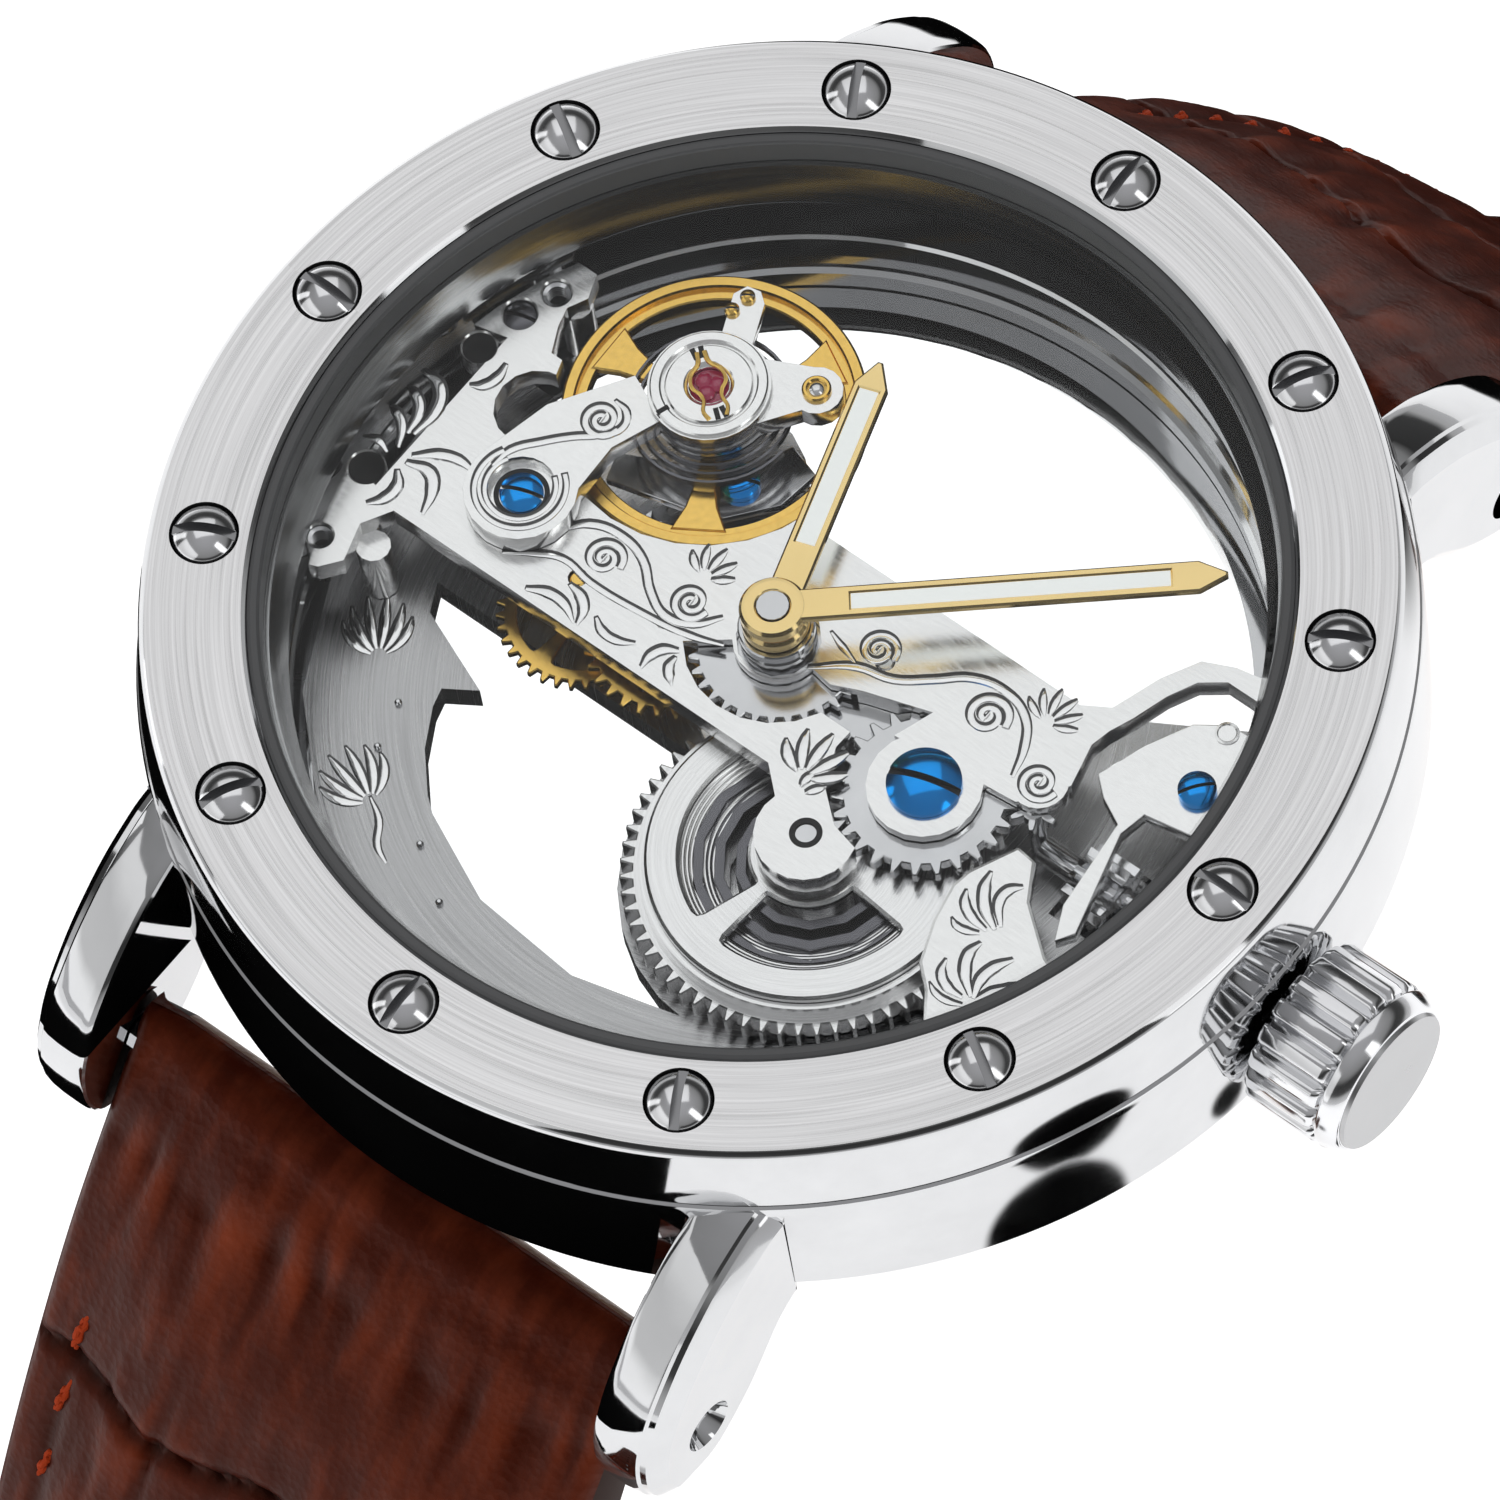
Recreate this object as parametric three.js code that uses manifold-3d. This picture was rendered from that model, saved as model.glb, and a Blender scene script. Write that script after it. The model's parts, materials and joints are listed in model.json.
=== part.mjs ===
// Skeleton wristwatch with a see-through movement, a bolted bezel and a two-piece leather strap.
// Millimetres, +Z up out of the dial. The origin is the centre of the case back's outer face,
// +X points to 3 o'clock (the crown) and +Y to 12 o'clock. The strap stands open as an arch.

import * as THREE from 'three';
import { mergeVertices } from 'three/addons/utils/BufferGeometryUtils.js';
import Module from 'manifold-3d';

const wasm = await Module();
wasm.setup();

// ---------------------------------------------------------------- driving dimensions

const ringSides = 48;
const gap = 0.05;

// case, heights above the case back
const faceHeight = 10.3;
const seamHeight = 7.3;
const bezelRadius = 21;
const seamRadius = 21.34;
const caseRadius = 21.47;
const caseBoreRadius = 16.5;
const bezelBoreRadius = 17.4;
const backRingRadius = 19.3;
const backGlassRadius = 15.4;
const backThickness = 1.6;
const crystalRadius = 16.9;
const crystalBottom = 9.1;
const crystalTop = 10.6;
const screwCircleRadius = 19.05;
const screwCount = 12;
const screwHeadRadius = 1.07;
const screwShankRadius = 0.4;

// lugs and spring bars
const lugInner = 11;
const lugOuter = 13.6;
const barY = 21.6;
const barZ = -0.6;
const barRadius = 0.75;
const barTipRadius = 0.45;

// crown and stem, on an axis along +X
const stemHeight = 4;
const stemRadius = 0.5;
const crownRadius = 3.06;
const crownStart = 21.65;
const fluteEnd = 24.7;
const crownEnd = 25.6;
const crownFlutes = 24;
const tubeRadius = 1.3;

// strap
const strapHalfWidth = 10.85;
const strapEndHalfWidth = 9;
const strapEndRadius = 1.55;
const strapPadHeight = 2.2;
const strapThinHeight = 1.1;
const shortStrapLength = 80;
const longStrapLength = 115;
const keeperThickness = 0.95;
const floorHeight = -47.55;
const buckleBarRadius = 0.6;

// movement levels
const plateBottom = 2.1;
const plateTop = 3.2;
const bridgeBottom = 5.8;
const bridgeTop = 6.7;
const bridgeSkin = 6.33;
const windingLow = 5.8;
const windingHigh = 6.25;
const movementRadius = 16.35;
const stripHalfWidth = 3.85;

// wheels: pitch radius is half of module times teeth
const trainModule = 0.1945;
const motionModule = 0.185;
const windingModule = 0.23;
const fourthModule = 0.16;
const centreTeeth = 12;
const barrelTeeth = 64;
const thirdTeeth = 28;
const fourthPinionTeeth = 7;
const fourthTeeth = 36;
const escapePinionTeeth = 8;
const cannonTeeth = 10;
const minuteTeeth = 30;
const minutePinionTeeth = 8;
const hourTeeth = 32;
const crownWheelTeeth = 26;
const ratchetTeeth = 11;
const transferTeeth = 6;

const balanceCentre = [-7.42, 5.66];
const balanceRadius = 5.2;

// ---------------------------------------------------------------- colours

function paint(colour, roughness, metalness) {
  return { color: colour, roughness, metalness };
}

const finish = {
  polishedSteel: paint(0xd8d9dc, 0.12, 1),
  brushedSteel: paint(0xc4c5c8, 0.35, 1),
  darkSteel: paint(0x55575c, 0.3, 1),
  gold: paint(0xe0b64a, 0.25, 1),
  blueSteel: paint(0x1565c8, 0.25, 1),
  ruby: paint(0xb02a6a, 0.15, 0),
  crystal: paint(0xf2f6f8, 0.05, 0),
  rubber: paint(0x2a2a2c, 0.7, 0),
  leather: paint(0x5a2012, 0.5, 0),
};

// ---------------------------------------------------------------- solids

function solid(geometry) {
  const bare = geometry.clone();
  bare.deleteAttribute('normal');
  bare.deleteAttribute('uv');
  const merged = mergeVertices(bare, 1e-4);
  const corners = merged.index.array;
  const kept = [];
  for (let i = 0; i < corners.length; i += 3) {
    const [a, b, c] = [corners[i], corners[i + 1], corners[i + 2]];
    if (a !== b && b !== c && c !== a) {
      kept.push(a, b, c);
    }
  }
  return new wasm.Manifold(new wasm.Mesh({
    numProp: 3,
    vertProperties: new Float32Array(merged.attributes.position.array),
    triVerts: new Uint32Array(kept),
  }));
}

function geometryOf(body) {
  const mesh = body.getMesh();
  const geometry = new THREE.BufferGeometry();
  geometry.setAttribute('position', new THREE.BufferAttribute(new Float32Array(mesh.vertProperties), 3));
  geometry.setIndex(new THREE.BufferAttribute(new Uint32Array(mesh.triVerts), 1));
  geometry.computeVertexNormals();
  return geometry;
}

function outline(points) {
  return new THREE.Shape(points.map(([x, y]) => new THREE.Vector2(x, y)));
}

// a flat piece: the shape's X and Y are the watch's, from one height to another
function plate(shape, low, high) {
  const depth = high - low;
  const geometry = new THREE.ExtrudeGeometry(shape, { depth, bevelEnabled: false, curveSegments: 4 });
  geometry.translate(0, 0, low);
  return solid(geometry);
}

// a piece with one side view: the shape's X and Y are the watch's Y and Z, from one X to another
function sideways(shape, left, right) {
  const geometry = new THREE.ExtrudeGeometry(shape, { depth: right - left, bevelEnabled: false });
  const onItsSide = new THREE.Matrix4().makeBasis(
    new THREE.Vector3(0, 1, 0),
    new THREE.Vector3(0, 0, 1),
    new THREE.Vector3(1, 0, 0),
  );
  geometry.applyMatrix4(onItsSide);
  geometry.translate(left, 0, 0);
  return solid(geometry);
}

// a turned piece about +Z: the profile (radius, height) starts and ends on the axis or closes on itself,
// and runs anticlockwise as seen with the axis on the left
function turnedGeometry(profile, sides) {
  const points = profile.map(([radius, height]) => new THREE.Vector2(radius, height));
  const geometry = new THREE.LatheGeometry(points, sides);
  geometry.rotateX(Math.PI / 2);
  return geometry;
}

function turned(profile, sides = ringSides) {
  return solid(turnedGeometry(profile, sides));
}

// the same about the stem's axis, with heights measured along +X
function stemTurned(profile, sides) {
  const geometry = turnedGeometry(profile, sides);
  geometry.rotateY(Math.PI / 2);
  geometry.translate(0, 0, stemHeight);
  return solid(geometry);
}

function disc(centre, radius, low, high, sides = 20) {
  const geometry = new THREE.CylinderGeometry(radius, radius, high - low, sides);
  geometry.rotateX(Math.PI / 2);
  geometry.translate(centre[0], centre[1], (low + high) / 2);
  return solid(geometry);
}

function ring(centre, inner, outer, low, high, sides = 20) {
  return disc(centre, outer, low, high, sides).subtract(disc(centre, inner, low - 1, high + 1, sides));
}

function block(low, high) {
  const geometry = new THREE.BoxGeometry(high[0] - low[0], high[1] - low[1], high[2] - low[2]);
  geometry.translate((low[0] + high[0]) / 2, (low[1] + high[1]) / 2, (low[2] + high[2]) / 2);
  return solid(geometry);
}

// a pie slice of a ring, between two angles in degrees, from one height to another
function slice(centre, inner, outer, from, to, low, high) {
  const start = THREE.MathUtils.degToRad(from);
  const end = THREE.MathUtils.degToRad(to);
  const shape = new THREE.Shape();
  shape.absarc(centre[0], centre[1], outer, start, end, false);
  shape.absarc(centre[0], centre[1], inner, end, start, true);
  return plate(shape, low, high);
}

function alongX(radius, left, right, y, z, sides = 12) {
  const geometry = new THREE.CylinderGeometry(radius, radius, right - left, sides);
  geometry.rotateZ(Math.PI / 2);
  geometry.translate((left + right) / 2, y, z);
  return solid(geometry);
}

// ---------------------------------------------------------------- gears

function polar(centre, radius, angle) {
  return [centre[0] + radius * Math.cos(angle), centre[1] + radius * Math.sin(angle)];
}

function gear(centre, teeth, module, phase, low, high) {
  const pitchRadius = module * teeth / 2;
  const tip = pitchRadius + 0.75 * module;
  const root = pitchRadius - 1.05 * module;
  const step = 2 * Math.PI / teeth;
  const points = [];
  for (let i = 0; i < teeth; i += 1) {
    const middle = phase + i * step;
    points.push(polar(centre, root, middle - 0.33 * step));
    points.push(polar(centre, tip, middle));
    points.push(polar(centre, root, middle + 0.33 * step));
  }
  return plate(outline(points), low, high);
}

// pointed teeth with wide gaps, as an outline
function starPoints(middle, teeth, root, tip) {
  const points = [];
  const step = 2 * Math.PI / teeth;
  for (let i = 0; i < teeth; i += 1) {
    points.push(polar(middle, root, (i - 0.25) * step));
    points.push(polar(middle, tip, i * step));
    points.push(polar(middle, root, (i + 0.25) * step));
  }
  return points;
}

// the phase that puts a gap of the second gear on a tooth of the first, seen along the line of centres
function meshedPhase(phase, teeth, angle, otherTeeth) {
  const step = 2 * Math.PI / teeth;
  const offset = (phase - angle) / step;
  return angle + Math.PI + (0.5 - offset) * 2 * Math.PI / otherTeeth;
}

function reach(module, teeth, otherTeeth) {
  return module * (teeth + otherTeeth) / 2;
}

// spokes between a hub and a rim: cuts the windows out of a wheel
function spoked(wheel, centre, hub, rim, spokes, spokeAngle, low, high) {
  let made = wheel;
  const pitch = 360 / spokes;
  for (let i = 0; i < spokes; i += 1) {
    const from = i * pitch + spokeAngle;
    made = made.subtract(slice(centre, hub, rim, from, from + pitch - 2 * spokeAngle, low, high));
  }
  return made;
}

// ---------------------------------------------------------------- the scene

const watch = new THREE.Group();
const head = new THREE.Group();
const strap = new THREE.Group();
watch.add(head, strap);

function piece(group, name, body, look) {
  const mesh = new THREE.Mesh(geometryOf(body), new THREE.MeshStandardMaterial(look));
  mesh.name = name;
  group.add(mesh);
}

const centre = [0, 0];

// ---------------------------------------------------------------- case

function lugProfile(side) {
  const corners = [
    [16.2, 7.2], [17.2, 7.1], [19.6, 6.1], [21.8, 4.3], [23.5, 2.2], [24.4, 0.4],
    [24.6, -1.4], [24.1, -3.1], [21.2, -3.4], [18.8, -1.7], [17, 0.4], [16.2, 0.9],
  ];
  return outline(corners.map(([y, z]) => [side * y, z]));
}

function screwPlace(index) {
  return polar(centre, screwCircleRadius, index * 2 * Math.PI / screwCount);
}

function caseMiddle() {
  let body = turned([
    [caseBoreRadius, 1.7], [19.4, 1.7], [19.4, 0.2], [19.7, 0.2], [caseRadius, 1.9],
    [caseRadius, 6.9], [seamRadius, seamHeight], [caseBoreRadius, seamHeight], [caseBoreRadius, 1.7],
  ]);
  for (const side of [-1, 1]) {
    for (const inner of [lugInner, -lugOuter]) {
      body = body.add(sideways(lugProfile(side), inner, inner + lugOuter - lugInner));
    }
  }
  for (const side of [-1, 1]) {
    body = body.subtract(alongX(barTipRadius + gap, -15, 15, side * barY, barZ, 10));
  }
  for (let i = 0; i < screwCount; i += 1) {
    body = body.subtract(disc(screwPlace(i), screwShankRadius + 0.15, 5.6, 8, 6));
  }
  return body.subtract(alongX(tubeRadius + gap, 15, 23, 0, stemHeight, 16));
}
piece(head, 'case_middle', caseMiddle(), finish.polishedSteel);

function bezel() {
  let body = turned([
    [bezelBoreRadius, seamHeight + 0.02], [seamRadius, seamHeight + 0.02], [bezelRadius, 10.05],
    [bezelRadius - 0.25, faceHeight], [bezelBoreRadius, faceHeight], [bezelBoreRadius, seamHeight + 0.02],
  ]);
  for (let i = 0; i < screwCount; i += 1) {
    body = body.subtract(disc(screwPlace(i), screwHeadRadius + 0.2, 9.5, 11, 10));
    body = body.subtract(disc(screwPlace(i), screwShankRadius + 0.15, 7, 10, 6));
  }
  return body;
}
piece(head, 'bezel', bezel(), finish.brushedSteel);

piece(head, 'crystal', turned([
  [0, crystalBottom], [crystalRadius, crystalBottom], [crystalRadius, 10.35],
  [crystalRadius - 0.25, crystalTop], [0, crystalTop],
]), finish.crystal);
piece(head, 'crystal_gasket', ring(centre, 16.97, 17.35, crystalBottom, 10.15, ringSides), finish.rubber);
piece(head, 'flange_ring', turned([
  [16.3, seamHeight + gap], [17.35, seamHeight + gap], [17.35, crystalBottom - gap],
  [16.7, crystalBottom - gap], [16.3, seamHeight + gap],
]), finish.darkSteel);
piece(head, 'case_back', turned([
  [backGlassRadius + 0.1, 0], [backRingRadius, 0], [backRingRadius, backThickness],
  [backGlassRadius + 0.1, backThickness], [backGlassRadius + 0.1, 0],
]), finish.polishedSteel);
piece(head, 'rear_crystal', turned([
  [0, 0], [backGlassRadius, 0], [backGlassRadius, 1.4], [0, 1.4],
]), finish.crystal);
piece(head, 'crown_tube', stemTurned([
  [0.95, 16.7], [tubeRadius, 16.7], [tubeRadius, 22.9], [0.95, 22.9], [0.95, 16.7],
], 16), finish.polishedSteel);

function slottedScrew(place, radius, top, thickness, shank, depth, slotAngle, sides) {
  const geometry = turnedGeometry([
    [0, top - thickness - depth], [shank, top - thickness - depth], [shank, top - thickness],
    [radius, top - thickness], [radius, top - 0.25 * thickness], [0, top],
  ], sides);
  const slot = new THREE.BoxGeometry(3 * radius, 0.26 * radius, 0.7 * thickness);
  slot.translate(0, 0, top);
  slot.rotateZ(slotAngle);
  return solid(geometry.translate(place[0], place[1], 0)).subtract(
    solid(slot.translate(place[0], place[1], 0)),
  );
}

for (let i = 0; i < screwCount; i += 1) {
  const hour = (screwCount + 3 - i - 1) % screwCount + 1;
  const angle = i * 2 * Math.PI / screwCount;
  const body = slottedScrew(screwPlace(i), screwHeadRadius, 10.45, 0.85, screwShankRadius, 3.2, angle, 8);
  piece(head, `bezel_screw_${String(hour).padStart(2, '0')}`, body, finish.polishedSteel);
}

for (const [name, side] of [['spring_bar_12', 1], ['spring_bar_6', -1]]) {
  const body = alongX(barRadius, -lugInner + gap, lugInner - gap, side * barY, barZ, 10);
  const tips = alongX(barTipRadius, -lugInner - 1.4, lugInner + 1.4, side * barY, barZ, 8);
  piece(head, name, body.add(tips), finish.polishedSteel);
}

// ---------------------------------------------------------------- crown and stem

function crown() {
  const points = [];
  const step = 2 * Math.PI / crownFlutes;
  for (let i = 0; i < crownFlutes; i += 1) {
    points.push(polar(centre, crownRadius, (i - 0.28) * step));
    points.push(polar(centre, crownRadius, (i + 0.28) * step));
    points.push(polar(centre, crownRadius - 0.3, (i + 0.5) * step));
  }
  const depth = fluteEnd - crownStart;
  const fluted = new THREE.ExtrudeGeometry(outline(points), { depth, bevelEnabled: false });
  fluted.rotateY(Math.PI / 2);
  fluted.translate(crownStart, 0, stemHeight);
  const core = stemTurned([
    [0, crownStart + 0.3], [2.75, crownStart + 0.3], [2.9, 24.6], [2.9, 25.1], [2.64, crownEnd],
    [0, crownEnd],
  ], 16);
  const bore = stemTurned([[0, 21], [1.68, 21], [1.68, 23.6], [0, 23.6]], 16);
  const socket = stemTurned([[0, 21], [stemRadius + gap, 21], [stemRadius + gap, 24.9], [0, 24.9]], 12);
  return solid(fluted).add(core).subtract(bore).subtract(socket);
}
piece(head, 'crown', crown(), finish.polishedSteel);
piece(head, 'crown_gasket', stemTurned([
  [tubeRadius + gap, 22.3], [1.6, 22.3], [1.6, 22.8], [tubeRadius + gap, 22.8], [tubeRadius + gap, 22.3],
], 16), finish.rubber);
piece(head, 'winding_stem', stemTurned([
  [0, 11], [stemRadius, 11], [stemRadius, 24.8], [0, 24.8],
], 12), finish.polishedSteel);

function windingPinion() {
  const section = outline(starPoints(centre, 12, 0.95, 1.25));
  const geometry = new THREE.ExtrudeGeometry(section, { depth: 1.7, bevelEnabled: false });
  geometry.rotateY(Math.PI / 2);
  geometry.translate(12.6, 0, stemHeight);
  return solid(geometry).subtract(alongX(stemRadius + gap, 12, 15, 0, stemHeight, 12));
}

piece(head, 'winding_pinion', windingPinion(), finish.polishedSteel);

// ---------------------------------------------------------------- wheel places and phases

const barrelCentre = [5.3, -5.15];
const barrelAngle = Math.atan2(barrelCentre[1], barrelCentre[0]);
const thirdAngle = THREE.MathUtils.degToRad(206);
const thirdCentre = polar(centre, reach(trainModule, centreTeeth, thirdTeeth), thirdAngle);
const fourthAngle = THREE.MathUtils.degToRad(188);
const fourthCentre = polar(thirdCentre, reach(trainModule, thirdTeeth, fourthPinionTeeth), fourthAngle);
const escapeAngle = THREE.MathUtils.degToRad(96);
const escapeCentre = polar(fourthCentre, reach(fourthModule, fourthTeeth, escapePinionTeeth), escapeAngle);
const minuteAngle = THREE.MathUtils.degToRad(22);
const minuteCentre = polar(centre, reach(motionModule, cannonTeeth, minuteTeeth), minuteAngle);
const ratchetCentre = barrelCentre;
const crownWheelAngle = THREE.MathUtils.degToRad(61.3);
const crownWheelCentre = polar(
  ratchetCentre, reach(windingModule, ratchetTeeth, crownWheelTeeth), crownWheelAngle,
);
const transferAngle = THREE.MathUtils.degToRad(26);
const transferCentre = polar(
  crownWheelCentre, reach(windingModule, crownWheelTeeth, transferTeeth), transferAngle,
);

const cockScrewPlace = [-10.2, -1];
const palletScrewPlace = [-5.4, 4.4];
const keylessScrewPlace = [14.6, 3.9];

const centrePhase = 0;
const barrelPhase = meshedPhase(centrePhase, centreTeeth, barrelAngle, barrelTeeth);
const thirdPhase = meshedPhase(centrePhase, centreTeeth, thirdAngle, thirdTeeth);
const fourthPinionPhase = meshedPhase(thirdPhase, thirdTeeth, fourthAngle, fourthPinionTeeth);
const escapePinionPhase = meshedPhase(0, fourthTeeth, escapeAngle, escapePinionTeeth);
const minutePhase = meshedPhase(0, cannonTeeth, minuteAngle, minuteTeeth);
const hourPhase = meshedPhase(0, minutePinionTeeth, minuteAngle + Math.PI, hourTeeth);
const crownWheelPhase = meshedPhase(0, ratchetTeeth, crownWheelAngle, crownWheelTeeth);
const transferPhase = meshedPhase(crownWheelPhase, crownWheelTeeth, transferAngle, transferTeeth);

// ---------------------------------------------------------------- plates and bridges

function mainPlate() {
  const openingEdge = [
    [-13.8, -3.9], [-11.3, -5], [-8.3, -6.2], [-9.4, -6.9], [-9.2, -7.6], [-8.4, -9], [-7.2, -10.3],
    [-5.5, -11.6], [-3.4, -12.5], [-1.8, -12.7], [-2.5, -15.2], [-9, -13], [-13, -9.5], [-15.5, -4],
  ];
  let body = block([-15.2, -stripHalfWidth, plateBottom], [11, stripHalfWidth + 0.1, plateTop]);
  body = body.add(slice(centre, 12.7, movementRadius, 178, 332, plateBottom, plateTop));
  body = body.add(slice(centre, 9.4, movementRadius, 328, 390, plateBottom, plateTop));
  body = body.add(plate(outline(openingEdge), plateBottom, plateTop));
  body = body.add(disc([-7, 4.4], 3.4, plateBottom, plateTop));
  body = body.add(disc(barrelCentre, 6.6, plateBottom, plateTop, 28));
  body = body.intersect(disc(centre, movementRadius, 0, 9, ringSides));
  body = body.subtract(disc(barrelCentre, 5.85, plateBottom + 0.5, 9, 28));
  body = body.subtract(block([12.3, -1.5, 2.6], [14.6, 1.5, 9]));
  for (const from of [20, 140, 260]) {
    body = body.subtract(slice(barrelCentre, 1.8, 5.3, from, from + 100, 0, 9));
  }
  const bearings = [
    [centre, 0.3], [thirdCentre, 0.3], [fourthCentre, 0.3], [escapeCentre, 0.3], [minuteCentre, 0.3],
    [balanceCentre, 0.3], [ratchetCentre, 0.55],
  ];
  for (const [place, radius] of bearings) {
    body = body.subtract(disc(place, radius + gap, 0, 9, 8));
  }
  return body;
}
piece(head, 'main_plate', mainPlate(), finish.brushedSteel);

// the long engraved bridge: a straight strip, its end block, the barrel foot and the crown wheel cap
function mainBridge() {
  const strip = [
    [-14.6, -stripHalfWidth], [5.2, -stripHalfWidth], [5.2, -0.6], [10.2, -0.15], [11.3, 1.4], [10.9, 3],
    [11.1, stripHalfWidth + 0.1], [-14.6, stripHalfWidth + 0.1],
  ];
  const upperEnd = [
    [-13, 3.9], [-13.5, 4.9], [-13.7, 5.6], [-13.35, 6.3], [-13.7, 7.2], [-17, 7.2], [-17, 3],
  ];
  const lowerEnd = [
    [-17, -3], [-17, -7.6], [-15, -7.3], [-14.2, -7], [-13.65, -6.3], [-14.1, -4.9], [-13.4, -3.7],
  ];
  const neck = [[2.6, -3.8], [3.75, -4.8], [5.3, -6.5], [6.9, -4.9], [5.6, -3.6]];
  const rim = [
    [9.6, 3.9], [10.6, 4.5], [11.2, 6.3], [11.9, 7.6], [13, 8.1], [14.1, 8.3], [14.5, 7.5],
    [13.1, 7.5], [12.3, 6.9], [11.8, 5.9], [11.4, 4.6], [11, 3.6],
  ];
  const wheelWindow = [[1.2, -0.9], [3.5, 0.1], [5.9, 0.85], [5.5, -0.3], [5.1, -1.35], [2.9, -1.35]];
  const levels = [bridgeBottom, bridgeTop];
  let body = plate(outline(strip), ...levels);
  for (const part of [upperEnd, lowerEnd, neck, rim]) {
    body = body.add(plate(outline(part), ...levels));
  }
  body = body.add(disc(barrelCentre, 1.75, ...levels));
  body = body.add(disc([10.35, 0.9], 1, ...levels));
  body = body.intersect(disc(centre, 16.2, 0, 9, ringSides));
  body = body.subtract(disc(balanceCentre, 5.45, 0, 9, 28));
  body = body.subtract(disc([-12.1, 2], 1.45, 0, 9, 16));
  body = body.subtract(slice(crownWheelCentre, 1.95, 3.3, 165, 375, 0, 9));
  body = body.add(disc(crownWheelCentre, 1.96, bridgeSkin, bridgeTop));
  body = body.subtract(slice(centre, 1.55, 3.2, 218, 352, 0, 9));
  body = body.subtract(plate(outline(wheelWindow), 0, 9));
  const recesses = [[centre, 3.3], [crownWheelCentre, 3.3], [ratchetCentre, 1.55], [minuteCentre, 1.05]];
  for (const [place, radius] of recesses) {
    body = body.subtract(disc(place, radius, 0, bridgeSkin, 20));
  }
  body = body.subtract(disc(transferCentre, 0.95, 0, bridgeSkin, 16));
  const endHoles = [
    [[-15.15, 2.7], 0.58], [[-14.85, 4.5], 0.58], [[-14.35, 5.85], 0.5], [[-15.3, -3.1], 0.62],
    [[-14.9, -6.05], 0.45],
  ];
  for (const [place, radius] of endHoles) {
    body = body.subtract(disc(place, radius, 0, 9, 12));
  }
  const bearings = [
    [centre, 1.4], [thirdCentre, 0.3], [fourthCentre, 0.3], [minuteCentre, 0.3], [ratchetCentre, 0.5],
    [crownWheelCentre, 0.6], [cockScrewPlace, 0.4],
  ];
  for (const [place, radius] of bearings) {
    body = body.subtract(disc(place, radius + gap, 0, 9, 12));
  }
  const feet = [[-13.55, -5], [-14.6, 0], [-13.9, 6.2]];
  for (const place of feet) {
    body = body.add(disc(place, 0.6, plateTop + gap, bridgeBottom + 0.1, 12));
  }
  return body;
}
piece(head, 'main_bridge', mainBridge(), finish.brushedSteel);

// the balance cock: a boss on the bridge, an arm, a round table over the balance and a side arm
function balanceCock() {
  const low = bridgeTop + gap;
  const high = 7.6;
  const arm = [[-12.1, -0.6], [-11.5, 2], [-9.8, 4.6], [-8, 3.8], [-8.7, 2], [-8.6, -0.2], [-9.4, -1.6]];
  const sideArm = [[-6.8, 7.6], [-4.9, 8.5], [-4.2, 7.2], [-5.8, 4.9]];
  const studArm = [[-8.2, 7], [-9.1, 9], [-8.9, 9.5], [-8.4, 9.6], [-8, 9.3], [-7.1, 7.3]];
  let body = disc(cockScrewPlace, 1.95, low, high);
  body = body.add(plate(outline(arm), low, high));
  body = body.add(disc(balanceCentre, 2.1, low, 7.9, 32));
  body = body.add(plate(outline(sideArm), low, high));
  body = body.add(disc([-4.5, 7.75], 0.9, low, high, 16));
  body = body.add(plate(outline(studArm), 7.2, high));
  body = body.subtract(disc(cockScrewPlace, 1.2, 7.2, 9));
  body = body.subtract(disc(cockScrewPlace, 0.45, 0, 9, 12));
  return body.subtract(disc(balanceCentre, 0.7, 0, 9, 16));
}
piece(head, 'balance_cock', balanceCock(), finish.brushedSteel);
piece(head, 'cap_jewel', disc(balanceCentre, 0.65, 7.45, 7.85, 16), finish.ruby);

function palletBridge() {
  const shape = [
    [-9.6, 2.9], [-9.2, 1.9], [-5.2, 2.9], [-3.8, 4.6], [-3.6, 6.2], [-4.9, 6.6], [-5.6, 5], [-6.8, 4.2],
  ];
  const foot = disc([-4.6, 5.9], 0.5, plateTop + gap, 4.7, 12);
  const body = plate(outline(shape), 4.65, 5);
  return body.add(foot).subtract(disc(palletScrewPlace, 0.45, 0, 9, 12));
}
piece(head, 'pallet_bridge', palletBridge(), finish.darkSteel);

// the spring plate of the keyless works, with its long setting arm
function keylessCover() {
  const shape = [
    [16, 2.6], [13.7, 2.2], [13.5, 1.2], [14.6, -2.6], [14.2, -3.2], [13.6, -2], [13.2, 1.4], [12.2, 1.9],
    [11.5, 2.5], [12.1, 4.2], [12.9, 5.8], [13.9, 6.5], [15.2, 6.6],
  ];
  const body = plate(outline(shape), 5.5, 6.1).intersect(disc(centre, 16.2, 0, 9, ringSides));
  return body.subtract(disc(keylessScrewPlace, 0.4, 0, 9, 12));
}
piece(head, 'keyless_cover', keylessCover(), finish.brushedSteel);

function barrelSidePlate() {
  const shape = [
    [10.3, -2.9], [11.1, -1.2], [11.9, -1.3], [12.7, -2.6], [14.4, -3.9], [15.6, -4.4], [13.2, -9],
    [11.9, -7.2], [11.1, -6.5], [10.5, -5], [10.2, -3.6],
  ];
  return plate(outline(shape), 5.55, 6.2).intersect(disc(centre, 16.2, 0, 9, ringSides));
}
piece(head, 'side_plate', barrelSidePlate(), finish.brushedSteel);

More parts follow.
